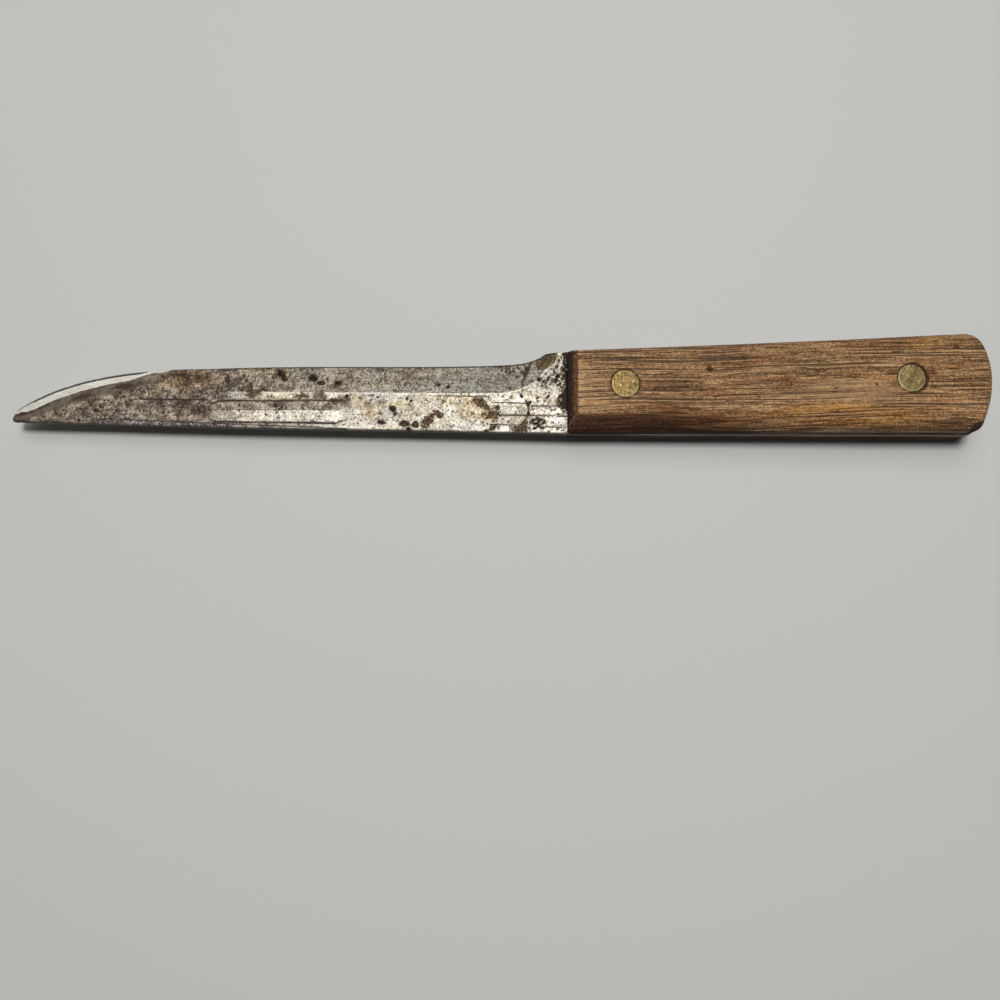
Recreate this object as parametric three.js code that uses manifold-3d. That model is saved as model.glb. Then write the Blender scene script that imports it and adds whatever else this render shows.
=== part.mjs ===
// An old kitchen knife lying on its side: a steel blade whose full tang is held between two wooden scales
// by two-part brass rivets. Millimetres, +Z up.
// The pieces are drawn with x = 0 at the front of the handle and the blade towards -X, y = 0 on the back
// of the handle and the cutting edge towards +Y, and z = 0 in the middle of the steel.

import * as THREE from 'three';
import { mergeVertices } from 'three/addons/utils/BufferGeometryUtils.js';
import Module from 'manifold-3d';

// Steel: the blade and its tang.
const BLADE_LENGTH = 152; // front of the handle to the point
const STOCK = 2.4; // thickness of the tang and of the blade's back
const TIP_STOCK = 1.7; // thickness of the blade's back at the point
const TAPER_LENGTH = 60; // stretch of the blade that thins towards the point
const EDGE_LAND = 0.16; // thickness left at the cutting edge
const HEEL_HEIGHT = 23.1; // unsharpened heel above the handle's back, next to the handle
const HEEL_LENGTH = 5.8; // length of the unsharpened heel
const HEEL_SLOPE = 0.3; // how much lower the heel's front corner is
const WORN_HEIGHT = 19.45; // worn cutting edge above the handle's back, where its sweep to the heel starts
const SWEEP_LENGTH = 12.6; // curve from the worn edge up to the heel's corner
const BELLY_HEIGHT = 17.8; // the worn edge where the belly starts
const BELLY_LENGTH = 50.5; // curved stretch of the edge behind the nose
const NOSE_LENGTH = 1.6; // blunt nose of the point
const NOSE_HEIGHT = 2.3; // rise of the edge over the nose
const POINT_HEIGHT = 3.8; // point above the handle's back
const POINT_BLUNT = 0.5; // height of the point's blunt end
const SPINE_RISE = 2.6; // climb of the blade's back by the point
const GRIND_HEIGHT = 11.2; // line where the wide bevel starts, above the handle's back
const GRIND_LAND = 0.5; // thickness that the wide bevel leaves behind the edge
const PLUNGE_START = 21; // where the bevel's line starts to sweep up, in front of the handle
const PLUNGE_END = 2.7; // where it runs out through the heel, in front of the handle
const FACET_WIDTH = 3; // fresh sharpening facet, at its widest near the point
const FACET_TAIL = 1.7; // the same facet where it runs out
const FACET_LENGTH = 39; // stretch of the edge from the point that has the wide facet
const MICRO_BEVEL = 0.4; // the facet along the rest of the edge

// Bends of the blade's curves: two handles, each a fraction of the curve's run and of its rise.
const NOSE_BEND = [[0.15, 0.38], [0.5, 0.8]];
const BELLY_BEND = [[0.155, 0.48], [0.43, 0.98]];
const WORN_BEND = [[0.36, 0.9], [0.67, 0.3]];
const SWEEP_BEND = [[0.33, 0.09], [0.66, 0.06]];
const SPINE_BEND = [[0.36, 0.73], [0.66, 0.65]];
const SPINE_NOSE_BEND = [[0.1, 0.6], [0.5, 1]];
const GRIND_BEND = [[0.14, 0.6], [0.5, 1]];
const PLUNGE_BEND = [[0.67, 0.02], [0.81, 0.52]];

// Wood: the scales.
const HANDLE_LENGTH = 114.4;
const HANDLE_THICKNESS = 16; // over both scales
const FRONT_HEIGHT = 22; // back to belly at the front
const BUTT_HEIGHT = 27.5; // the same at the butt, from the line of the blade's back
const BACK_RISE = 0.45; // how far the handle's back rises from that line towards the butt
const BUTT_BACK_CORNER = 1.8; // rounded corner of the butt at the back
const BUTT_BACK_INSET = 3.2; // how far that corner lies in front of the bowed end
const BUTT_BELLY_CORNER = 3.9; // the same two sizes at the belly
const BUTT_BELLY_INSET = 1.45;
const BELLY_HOLLOW = 0.3; // how far the handle's belly is hollowed
const EDGE_ROUND = 1.8; // roundover along the belly and the butt
const BACK_ROUND_FRONT = 4.4; // roundover along the back at the front, measured across the side
const BACK_ROUND_REAR = 1.9; // the same at the butt
const BACK_ROUND_DEPTH = 1.3; // depth of that roundover as a multiple of its width
const CHAMFER_RUN = 2.4; // chamfer of the front end, measured along the handle
const CHAMFER_DROP = 2; // the same, measured through the scale's thickness
const SEAM = 0.1; // gap between a scale and the tang

// Brass: two-part rivets, a pin pressed into a tube.
const FRONT_RIVET_X = 15.3;
const FRONT_RIVET_Y = 12.5;
const REAR_RIVET_FROM_BUTT = 22.2;
const REAR_RIVET_Y = 14.6;
const HEAD_DIAMETER = 7.6;
const HEAD_THICKNESS = 1.9;
const HEAD_CHAMFER = 0.25;
const TUBE_DIAMETER = 4.8;
const PIN_DIAMETER = 3.2;
const RIVET_FIT = 0.1; // clearance round the rivet in every hole, and of the pin in the tube
const PIN_SHORT = 0.8; // room left in front of the pin and of the tube

// Fineness of the round faces.
const ROUND_STEPS = 48;
const ARC_STEPS = 8;
const BELLY_STEP = 2.5;
const EDGE_STEP = 4;
const SWEEP_STEP = 0.9;
const HEEL_STEP = 0.5;
const CORNER_GAP = 0.04; // least distance between the corners of a narrow section
const FACET_RISE = 0.125; // share of the facet's length over which it widens behind the point
const FACET_RUNOUT = 0.8; // share of it after which it narrows to the micro bevel
const MERGE_REACH = 1e-4; // corners nearer than this are one corner
const HALVINGS = 40; // steps of the search for a curve's height

const wasm = await Module();
wasm.setup();

// A closed geometry as a solid that can be joined and cut.
function solid(geometry) {
  const bare = geometry.index ? geometry.toNonIndexed() : geometry.clone();
  bare.deleteAttribute('normal');
  bare.deleteAttribute('uv');
  const merged = mergeVertices(bare, MERGE_REACH);
  const mesh = new wasm.Mesh({
    numProp: 3,
    vertProperties: new Float32Array(merged.attributes.position.array),
    triVerts: new Uint32Array(merged.index.array),
  });
  return new wasm.Manifold(mesh);
}

function geometryOf(manifold) {
  const mesh = manifold.getMesh();
  const geometry = new THREE.BufferGeometry();
  geometry.setAttribute('position', new THREE.BufferAttribute(mesh.vertProperties, 3));
  geometry.setIndex(new THREE.BufferAttribute(mesh.triVerts, 1));
  geometry.computeVertexNormals();
  return geometry;
}

// Skins sections across X, each a ring of [y, z] points going round the same way, and closes both ends.
function loft(sections) {
  const count = sections[0].ring.length;
  const positions = sections.flatMap(({ x, ring }) => ring.flatMap(([y, z]) => [x, y, z]));
  const index = [];
  for (let s = 0; s + 1 < sections.length; s += 1) {
    for (let i = 0; i < count; i += 1) {
      const a = s * count + i;
      const b = s * count + ((i + 1) % count);
      index.push(a, a + count, b, b, a + count, b + count);
    }
  }
  const flat = ({ ring }) => ring.map(([y, z]) => new THREE.Vector2(y, z));
  const capOf = (section) => THREE.ShapeUtils.triangulateShape(flat(section), []);
  const last = (sections.length - 1) * count;
  capOf(sections[0]).forEach(([a, b, c]) => index.push(a, c, b));
  capOf(sections.at(-1)).forEach(([a, b, c]) => index.push(last + a, last + b, last + c));
  const geometry = new THREE.BufferGeometry();
  geometry.setAttribute('position', new THREE.Float32BufferAttribute(positions, 3));
  geometry.setIndex(index);
  return geometry;
}

const point = (x, y) => new THREE.Vector2(x, y);

// Height of a chain of curves that runs along +X, at one x.
function heightAt(curves, x) {
  const curve = curves.find((c) => x <= c.getPoint(1).x) ?? curves.at(-1);
  let low = 0;
  let high = 1;
  for (let i = 0; i < HALVINGS; i += 1) {
    const middle = (low + high) / 2;
    if (curve.getPoint(middle).x < x) low = middle;
    else high = middle;
  }
  return curve.getPoint(low).y;
}

// A cubic curve between two points, bent by two handles.
function bent(from, to, [near, far]) {
  const run = to.x - from.x;
  const rise = to.y - from.y;
  return new THREE.CubicBezierCurve(
    from,
    point(from.x + run * near[0], from.y + rise * near[1]),
    point(from.x + run * far[0], from.y + rise * far[1]),
    to,
  );
}

// The cutting edge, from the point to the handle: nose, belly, worn edge, sweep and heel.
function edgeCurves() {
  const tip = point(-BLADE_LENGTH, POINT_HEIGHT);
  const nose = point(tip.x + NOSE_LENGTH, tip.y + NOSE_HEIGHT);
  const belly = point(nose.x + BELLY_LENGTH, BELLY_HEIGHT);
  const corner = point(-HEEL_LENGTH, HEEL_HEIGHT - HEEL_SLOPE);
  const worn = point(corner.x - SWEEP_LENGTH, WORN_HEIGHT);
  return [
    bent(tip, nose, NOSE_BEND),
    bent(nose, belly, BELLY_BEND),
    bent(belly, worn, WORN_BEND),
    bent(worn, corner, SWEEP_BEND),
    new THREE.LineCurve(corner, point(0, HEEL_HEIGHT)),
  ];
}

// The blade's back, from the point to the handle.
function spineCurves() {
  const tip = point(-BLADE_LENGTH, POINT_HEIGHT - POINT_BLUNT);
  const nose = point(tip.x + NOSE_LENGTH, SPINE_RISE);
  return [bent(tip, nose, SPINE_NOSE_BEND), bent(nose, point(0, 0), SPINE_BEND)];
}

// The line where the wide bevel starts, from the point to where it runs out through the heel.
function grindCurves() {
  const tip = point(-BLADE_LENGTH, POINT_HEIGHT - POINT_BLUNT);
  const level = point(tip.x + BELLY_LENGTH, GRIND_HEIGHT);
  const plunge = point(-PLUNGE_START, GRIND_HEIGHT);
  return [
    bent(tip, level, GRIND_BEND),
    new THREE.LineCurve(level, plunge),
    bent(plunge, point(-PLUNGE_END, HEEL_HEIGHT), PLUNGE_BEND),
  ];
}

// Places from one x up to another, the last one left out.
function steps(from, to, step) {
  const count = Math.ceil((to - from) / step);
  return Array.from({ length: count }, (_, i) => from + ((to - from) * i) / count);
}

// Where the blade is cut into sections: closer together round the nose and at the heel.
function bladeStations() {
  const nose = -BLADE_LENGTH + NOSE_LENGTH;
  const belly = nose + BELLY_LENGTH;
  const sweep = -HEEL_LENGTH - SWEEP_LENGTH;
  const round = steps(0, 1, 1 / ARC_STEPS).map((part) => nose - NOSE_LENGTH * (1 - part * part));
  return [
    ...round,
    ...steps(nose, belly, BELLY_STEP),
    ...steps(belly, sweep, EDGE_STEP),
    ...steps(sweep, -HEEL_LENGTH, SWEEP_STEP),
    ...steps(-HEEL_LENGTH, -PLUNGE_END, HEEL_STEP),
    -PLUNGE_END,
    0,
  ];
}

// Width of the sharpening facet: widest near the point, a micro bevel along the rest of the edge.
function facetWidth(x) {
  const along = (x + BLADE_LENGTH) / FACET_LENGTH;
  const rising = THREE.MathUtils.smoothstep(along, 0, FACET_RISE);
  const fading = 1 - THREE.MathUtils.smoothstep(along, FACET_RUNOUT, 1);
  const width = THREE.MathUtils.lerp(FACET_WIDTH, FACET_TAIL, along);
  return Math.max(width * rising * fading, MICRO_BEVEL);
}

// One section of the blade: back, start of the wide bevel, start of the facet and edge, on both sides.
function bladeSection(x, edges, spines, grinds) {
  const { lerp, clamp, smoothstep } = THREE.MathUtils;
  const half = lerp(TIP_STOCK, STOCK, smoothstep(x, -BLADE_LENGTH, TAPER_LENGTH - BLADE_LENGTH)) / 2;
  const slope = (STOCK - GRIND_LAND) / 2 / ((BELLY_HEIGHT + WORN_HEIGHT) / 2 - GRIND_HEIGHT);
  const back = heightAt(spines, x);
  const edge = heightAt(edges, x);
  const line = x < -PLUNGE_END ? Math.min(heightAt(grinds, x), edge) : edge;
  const behind = (y) => Math.max(half - Math.max(0, y - line) * slope, EDGE_LAND / 2);
  const bevelY = clamp(line, back + CORNER_GAP, edge - 2 * CORNER_GAP);
  const facetY = clamp(edge - facetWidth(x), bevelY + CORNER_GAP, edge - CORNER_GAP);
  const sharp = smoothstep(edge - line, 0, WORN_HEIGHT - GRIND_HEIGHT);
  const edgeHalf = lerp(behind(edge), EDGE_LAND / 2, x < -HEEL_LENGTH ? 1 : sharp);
  const upper = [[back, half], [bevelY, half], [facetY, behind(facetY)], [edge, edgeHalf]];
  return { x, ring: [...upper, ...upper.toReversed().map(([y, z]) => [y, -z])] };
}

// How far the handle's back lies above the line of the blade's back.
function backAt(x) {
  return (BACK_RISE * x) / HANDLE_LENGTH;
}

// Outline of the handle in plan, which the tang shares.
function handleOutline() {
  const back = HANDLE_LENGTH - BUTT_BACK_INSET;
  const belly = HANDLE_LENGTH - BUTT_BELLY_INSET;
  const bow = 2 * HANDLE_LENGTH - (back + belly) / 2;
  const half = BUTT_HEIGHT / 2;
  const corner = BACK_RISE + BUTT_BACK_CORNER;
  const backBend = back - (BUTT_BACK_CORNER * (bow - back)) / (half - corner);
  const backEnd = backBend - BUTT_BACK_CORNER;
  const bellyBend = belly - (BUTT_BELLY_CORNER * (bow - belly)) / (half - BUTT_BELLY_CORNER);
  const shape = new THREE.Shape();
  shape.moveTo(0, 0);
  shape.lineTo(backEnd, backAt(backEnd));
  shape.quadraticCurveTo(backBend, backAt(backBend), back, corner);
  shape.quadraticCurveTo(bow, half, belly, BUTT_HEIGHT - BUTT_BELLY_CORNER);
  shape.quadraticCurveTo(bellyBend, BUTT_HEIGHT, bellyBend - BUTT_BELLY_CORNER, BUTT_HEIGHT);
  const middle = (FRONT_HEIGHT + BUTT_HEIGHT) / 2 - BELLY_HOLLOW;
  shape.quadraticCurveTo(HANDLE_LENGTH / 2, middle, 0, FRONT_HEIGHT);
  return shape;
}

const rivets = [
  { name: 'front', x: FRONT_RIVET_X, y: FRONT_RIVET_Y },
  { name: 'rear', x: HANDLE_LENGTH - REAR_RIVET_FROM_BUTT, y: REAR_RIVET_Y },
];

// A body turned about the Z axis through a rivet, from a profile of [radius, z] points going up.
function turned(profile, rivet) {
  const geometry = new THREE.LatheGeometry(profile.map(([r, z]) => point(r, z)), ROUND_STEPS);
  geometry.rotateX(Math.PI / 2);
  geometry.translate(rivet.x, rivet.y, 0);
  return geometry;
}

function bladeGeometry() {
  const edges = edgeCurves();
  const spines = spineCurves();
  const grinds = grindCurves();
  const blade = loft(bladeStations().map((x) => bladeSection(x, edges, spines, grinds)));
  const tang = new THREE.ExtrudeGeometry(handleOutline(), {
    depth: STOCK,
    bevelEnabled: false,
    curveSegments: ARC_STEPS,
  });
  tang.translate(0, 0, -STOCK / 2);
  const neck = new THREE.BoxGeometry(2 * PLUNGE_END, FRONT_HEIGHT / 2, STOCK);
  neck.translate(0, FRONT_HEIGHT / 2, 0);
  let steel = solid(blade).add(solid(tang)).add(solid(neck));
  const hole = TUBE_DIAMETER / 2 + RIVET_FIT;
  for (const rivet of rivets) {
    steel = steel.subtract(solid(turned([[0, -STOCK], [hole, -STOCK], [hole, STOCK], [0, STOCK]], rivet)));
  }
  return geometryOf(steel);
}

// What the roundover takes off along the back: the corner outside a quarter ellipse that shrinks rearwards.
function backCutter() {
  const top = HANDLE_THICKNESS / 2;
  const outside = EDGE_ROUND;
  const section = (x, width) => {
    const depth = width * BACK_ROUND_DEPTH;
    const arc = Array.from({ length: ARC_STEPS + 1 }, (_, i) => {
      const angle = (Math.PI / 2) * (i / ARC_STEPS);
      return [width * (1 - Math.sin(angle)), top - depth * (1 - Math.cos(angle))];
    });
    const beyond = [[-outside, top - depth], [-outside, top + outside], [width, top + outside]];
    return { x, ring: [...arc, ...beyond].map(([y, z]) => [y + backAt(x), z]) };
  };
  const width = (x) => {
    const fading = THREE.MathUtils.smootherstep(x, 0, HANDLE_LENGTH);
    return THREE.MathUtils.lerp(BACK_ROUND_FRONT, BACK_ROUND_REAR, fading);
  };
  const stations = [...steps(-outside, HANDLE_LENGTH, HANDLE_LENGTH / ARC_STEPS), HANDLE_LENGTH + outside];
  return loft(stations.map((x) => section(x, width(x))));
}

// The upper scale: the whole handle's rounded body, less the half below the seam, its front chamfer,
// the roundover of its back and the stepped holes for the rivets.
function scaleGeometry() {
  const top = HANDLE_THICKNESS / 2;
  const body = new THREE.ExtrudeGeometry(handleOutline(), {
    depth: HANDLE_THICKNESS - 2 * EDGE_ROUND,
    bevelThickness: EDGE_ROUND,
    bevelSize: EDGE_ROUND,
    bevelOffset: -EDGE_ROUND,
    bevelSegments: ARC_STEPS,
    curveSegments: ARC_STEPS,
  });
  body.translate(0, 0, EDGE_ROUND - top);
  const reach = 2 * HANDLE_LENGTH;
  const below = new THREE.BoxGeometry(2 * reach, reach, reach);
  below.translate(0, 0, STOCK / 2 + SEAM - reach / 2);
  const wedge = new THREE.Shape([
    point(-CHAMFER_RUN, top - 2 * CHAMFER_DROP),
    point(2 * CHAMFER_RUN, top + CHAMFER_DROP),
    point(-CHAMFER_RUN, top + CHAMFER_DROP),
  ]);
  const chamfer = new THREE.ExtrudeGeometry(wedge, { depth: reach, bevelEnabled: false });
  chamfer.rotateX(Math.PI / 2);
  chamfer.translate(0, reach / 2, 0);
  let wood = solid(body).subtract(solid(below)).subtract(solid(chamfer)).subtract(solid(backCutter()));
  const hole = TUBE_DIAMETER / 2 + RIVET_FIT;
  const bore = HEAD_DIAMETER / 2 + RIVET_FIT;
  const seat = top - HEAD_THICKNESS - RIVET_FIT;
  for (const rivet of rivets) {
    const over = top + HEAD_THICKNESS;
    const stepped = [[0, 0], [hole, 0], [hole, seat], [bore, seat], [bore, over], [0, over]];
    wood = wood.subtract(solid(turned(stepped, rivet)));
  }
  return geometryOf(wood);
}

// The head is flush with the upper scale, with its pin pointing down.
function maleGeometry(rivet) {
  const top = HANDLE_THICKNESS / 2;
  const under = top - HEAD_THICKNESS;
  const pin = PIN_DIAMETER / 2;
  const head = HEAD_DIAMETER / 2;
  return turned(
    [
      [0, PIN_SHORT - under],
      [pin, PIN_SHORT - under],
      [pin, under],
      [head, under],
      [head, top - HEAD_CHAMFER],
      [head - HEAD_CHAMFER, top],
      [0, top],
    ],
    rivet,
  );
}

// The head is flush with the lower scale, with its tube pointing up round the pin.
function femaleGeometry(rivet) {
  const top = HANDLE_THICKNESS / 2;
  const under = top - HEAD_THICKNESS;
  const bore = PIN_DIAMETER / 2 + RIVET_FIT;
  const tube = TUBE_DIAMETER / 2;
  const head = HEAD_DIAMETER / 2;
  return turned(
    [
      [0, -top],
      [head - HEAD_CHAMFER, -top],
      [head, HEAD_CHAMFER - top],
      [head, -under],
      [tube, -under],
      [tube, under - PIN_SHORT],
      [bore, under - PIN_SHORT],
      [bore, -under],
      [0, -under],
    ],
    rivet,
  );
}

const steel = new THREE.MeshStandardMaterial({ color: 0xa39a8c, roughness: 0.45, metalness: 0.9 });
const wood = new THREE.MeshStandardMaterial({ color: 0x7e6147, roughness: 0.7, metalness: 0 });
const brass = new THREE.MeshStandardMaterial({ color: 0x9a8052, roughness: 0.5, metalness: 0.9 });

function named(name, geometry, material) {
  const mesh = new THREE.Mesh(geometry, material.clone());
  mesh.name = name;
  return mesh;
}

const knife = new THREE.Group();
knife.add(named('blade', bladeGeometry(), steel));

const scale = scaleGeometry();
knife.add(named('upper_scale', scale, wood));
const lowerScale = named('lower_scale', scale.clone(), wood);
lowerScale.scale.z = -1;
knife.add(lowerScale);

for (const rivet of rivets) {
  knife.add(named(`${rivet.name}_rivet_male`, maleGeometry(rivet), brass));
  knife.add(named(`${rivet.name}_rivet_female`, femaleGeometry(rivet), brass));
}

// The knife lies with its lower scale on the ground and the middle of its plan at the origin.
knife.updateMatrixWorld(true);
const box = new THREE.Box3().setFromObject(knife);
knife.position.set(-(box.min.x + box.max.x) / 2, -(box.min.y + box.max.y) / 2, -box.min.z);

const part = new THREE.Group();
part.add(knife);

export default part;
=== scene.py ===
"""Dresses an old kitchen knife: worn blade and tang, two wooden scales and four brass rivet halves."""

import logging
import math
from collections.abc import Callable
from dataclasses import dataclass, field
from enum import Enum, IntEnum

import bpy
import numpy as np
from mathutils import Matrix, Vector


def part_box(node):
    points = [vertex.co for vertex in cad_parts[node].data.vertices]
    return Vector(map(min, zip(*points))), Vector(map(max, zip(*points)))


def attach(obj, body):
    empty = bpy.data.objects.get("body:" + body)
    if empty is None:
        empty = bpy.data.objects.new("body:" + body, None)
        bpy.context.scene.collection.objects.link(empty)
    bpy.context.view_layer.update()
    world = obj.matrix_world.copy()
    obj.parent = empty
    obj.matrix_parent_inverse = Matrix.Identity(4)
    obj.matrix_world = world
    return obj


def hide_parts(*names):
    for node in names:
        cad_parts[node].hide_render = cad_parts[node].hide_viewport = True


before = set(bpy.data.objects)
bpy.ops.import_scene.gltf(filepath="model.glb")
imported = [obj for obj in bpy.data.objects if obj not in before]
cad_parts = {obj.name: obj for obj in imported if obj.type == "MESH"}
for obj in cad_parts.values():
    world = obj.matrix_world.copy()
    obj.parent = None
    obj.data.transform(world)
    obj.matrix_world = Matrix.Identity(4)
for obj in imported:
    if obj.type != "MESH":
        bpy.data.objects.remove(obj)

log = logging.getLogger("knife")

MM = 0.001
BODY = "root"
MERGE = 0.002  # corners nearer than this, in millimetres, are one
ROUND_SIDES = 96
NOISE_TABLE = 4096
LAYOUT_SEED = 29
ALONG_AXIS = 0.9  # least share of a normal along an axis that it is said to face

Socket = bpy.types.NodeSocket
Piece = bpy.types.Object
Value = Socket | float
Colour = tuple[float, float, float, float]


def tone(red: int, green: int, blue: int) -> Colour:
    """Turns a colour as the eye reads it, 0 to 255, into the linear colour that a shader takes.

    Args:
        red: Red share.
        green: Green share.
        blue: Blue share.

    Returns:
        The linear colour with full cover.
    """
    linear = [((c / 255 + 0.055) / 1.055) ** 2.4 for c in (red, green, blue)]
    return (*linear, 1.0)


def smooth(low: float, high: float, value: np.ndarray) -> np.ndarray:
    """Rises smoothly from 0 at low to 1 at high.

    Args:
        low: Where the rise starts.
        high: Where it ends; it may lie below low for a fall.
        value: What is measured.

    Returns:
        The share of the rise at each value.
    """
    part = np.clip((value - low) / (high - low), 0.0, 1.0)
    return part * part * (3.0 - 2.0 * part)


class Lumps:
    """Seeded smooth noise over points, for relief and wear that are modelled and not only shaded."""

    PRIMES = (73856093, 19349663, 83492791)

    def __init__(self, seed: int) -> None:
        """Draws the table of heights.

        Args:
            seed: Start of the random draw.
        """
        self.heights = np.random.default_rng(seed).random(NOISE_TABLE)

    def at(self, *axes: np.ndarray) -> np.ndarray:
        """Reads the noise, whose lumps are one unit wide.

        Args:
            axes: One array for each axis, in units of a lump.

        Returns:
            Heights from 0 to 1.
        """
        cells = [np.floor(axis).astype(np.int64) for axis in axes]
        parts = [smooth(0.0, 1.0, axis - cell) for axis, cell in zip(axes, cells)]
        total = np.zeros_like(axes[0])
        for corner in range(2 ** len(axes)):
            mixed = np.zeros_like(cells[0])
            weight = np.ones_like(axes[0])
            for i, (cell, part, prime) in enumerate(zip(cells, parts, self.PRIMES)):
                far = corner >> i & 1
                mixed = mixed ^ ((cell + far) * prime)
                weight = weight * (part if far else 1.0 - part)
            total += weight * self.heights[mixed & (NOISE_TABLE - 1)]
        return total


def activate(piece: Piece) -> None:
    """Leaves edit mode and makes a piece the only selected and the active one.

    Args:
        piece: The piece to work on.
    """
    active = bpy.context.view_layer.objects.active
    if active is not None and active.mode != "OBJECT":
        bpy.ops.object.mode_set(mode="OBJECT")
    bpy.ops.object.select_all(action="DESELECT")
    piece.select_set(True)
    bpy.context.view_layer.objects.active = piece


def edit_all(piece: Piece) -> None:
    """Enters edit mode on a piece with everything selected.

    Args:
        piece: The piece to edit.
    """
    activate(piece)
    bpy.ops.object.mode_set(mode="EDIT")
    bpy.ops.mesh.select_mode(type="VERT")
    bpy.ops.mesh.select_all(action="SELECT")


def leave_edit() -> None:
    """Goes back to object mode."""
    bpy.ops.object.mode_set(mode="OBJECT")


class Element(Enum):
    """What is picked in edit mode, by Blender's names."""

    FACE = "FACE"
    EDGE = "EDGE"


def start_pick(piece: Piece, kind: Element) -> None:
    """Clears the selection of a piece, so that code can pick elements of one kind.

    Args:
        piece: The piece to edit.
        kind: What is picked.
    """
    activate(piece)
    bpy.ops.object.mode_set(mode="EDIT")
    bpy.ops.mesh.select_mode(type=kind.value)
    bpy.ops.mesh.select_all(action="DESELECT")
    leave_edit()


def pick_faces(piece: Piece, test: Callable[[Vector, Vector], bool]) -> None:
    """Enters edit mode with only those faces selected whose middle and normal pass a test.

    Args:
        piece: The piece to edit.
        test: Says whether a face with this middle and normal is wanted.
    """
    start_pick(piece, Element.FACE)
    for face in piece.data.polygons:
        face.select = test(face.center, face.normal)
    bpy.ops.object.mode_set(mode="EDIT")


def pick_edges(piece: Piece, test: Callable[[Vector], bool]) -> None:
    """Enters edit mode with only those edges selected whose two ends pass a test.

    Args:
        piece: The piece to edit.
        test: Says whether an end at this place is wanted.
    """
    start_pick(piece, Element.EDGE)
    for edge in piece.data.edges:
        edge.select = all(test(piece.data.vertices[i].co) for i in edge.vertices)
    bpy.ops.object.mode_set(mode="EDIT")


def modify(piece: Piece, kind: str, **settings: object) -> None:
    """Adds a modifier to a piece and applies it.

    Args:
        piece: The piece to change.
        kind: Blender's name of the modifier.
        settings: Its settings.
    """
    activate(piece)
    modifier = piece.modifiers.new(kind.lower(), kind)
    for name, value in settings.items():
        setattr(modifier, name, value)
    bpy.ops.object.modifier_apply(modifier=modifier.name)


def merged_copy(node: str, name: str) -> Piece:
    """Copies a CAD node into a piece of its own and merges its loose triangles.

    Args:
        node: The CAD node's name.
        name: The new piece's name.

    Returns:
        The new piece.
    """
    piece = bpy.data.objects.new(name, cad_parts[node].data.copy())
    bpy.context.scene.collection.objects.link(piece)
    piece.data.name = name
    edit_all(piece)
    bpy.ops.mesh.customdata_custom_splitnormals_clear()
    bpy.ops.mesh.remove_doubles(threshold=MERGE * MM)
    leave_edit()
    return piece


def join(pieces: list[Piece], name: str) -> Piece:
    """Joins pieces into the first one.

    Args:
        pieces: What is joined.
        name: Name of the joined piece.

    Returns:
        The joined piece.
    """
    activate(pieces[0])
    for piece in pieces[1:]:
        piece.select_set(True)
    bpy.ops.object.join()
    pieces[0].name = name
    pieces[0].data.name = name
    return pieces[0]


def round_bar(radius: float, length: float, middle: Vector) -> Piece:
    """Adds a round bar that stands along Z.

    Args:
        radius: Its radius in metres.
        length: Its length in metres.
        middle: Its middle.

    Returns:
        The bar, with its place in its mesh.
    """
    bpy.ops.object.select_all(action="DESELECT")
    bpy.ops.mesh.primitive_cylinder_add(vertices=ROUND_SIDES, radius=radius, depth=length, location=middle)
    bpy.ops.object.transform_apply(location=True, rotation=True, scale=True)
    return bpy.context.active_object


def soften(piece: Piece, angle: float) -> None:
    """Shades a piece smooth, apart from edges sharper than an angle.

    Args:
        piece: The piece.
        angle: The angle in degrees.
    """
    activate(piece)
    bpy.ops.object.shade_smooth_by_angle(angle=math.radians(angle))


def corners(piece: Piece) -> np.ndarray:
    """Reads a piece's corners.

    Args:
        piece: The piece.

    Returns:
        One row of x, y and z for each corner, in millimetres.
    """
    flat = np.empty(len(piece.data.vertices) * 3)
    piece.data.vertices.foreach_get("co", flat)
    return flat.reshape(-1, 3) / MM


def move_corners(piece: Piece, places: np.ndarray) -> None:
    """Puts a piece's corners at new places.

    Args:
        piece: The piece.
        places: One row of x, y and z for each corner, in millimetres.
    """
    piece.data.vertices.foreach_set("co", (places * MM).ravel())
    piece.data.update()


def paint(piece: Piece, name: str, values: np.ndarray) -> None:
    """Keeps one value for each corner of a piece, for its finish to read.

    Args:
        piece: The piece.
        name: The attribute's name.
        values: One value for each corner.
    """
    attribute = piece.data.attributes.new(name, "FLOAT", "POINT")
    attribute.data.foreach_set("value", values.astype(np.float32))


def hand_over(piece: Piece, finish: bpy.types.Material, stands_for: str | None = None) -> None:
    """Gives a finished piece its material and its body, hides the CAD node that it replaces and logs its
    triangles.

    Args:
        piece: The finished piece.
        finish: Its material.
        stands_for: The CAD node that it replaces, where it replaces one.
    """
    piece.data.materials.clear()
    piece.data.materials.append(finish)
    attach(piece, BODY)
    if stands_for is not None:
        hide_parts(stands_for)
    faces = sum(len(face.vertices) - 2 for face in piece.data.polygons)
    log.info("%s: %d triangles, finish %s", piece.name, faces, finish.name)


@dataclass(frozen=True)
class Tones:
    """Five tones of one mottled surface, from its darkest specks to its brightest."""

    darkest: Colour
    dark: Colour
    middle: Colour
    light: Colour
    lightest: Colour


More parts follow.
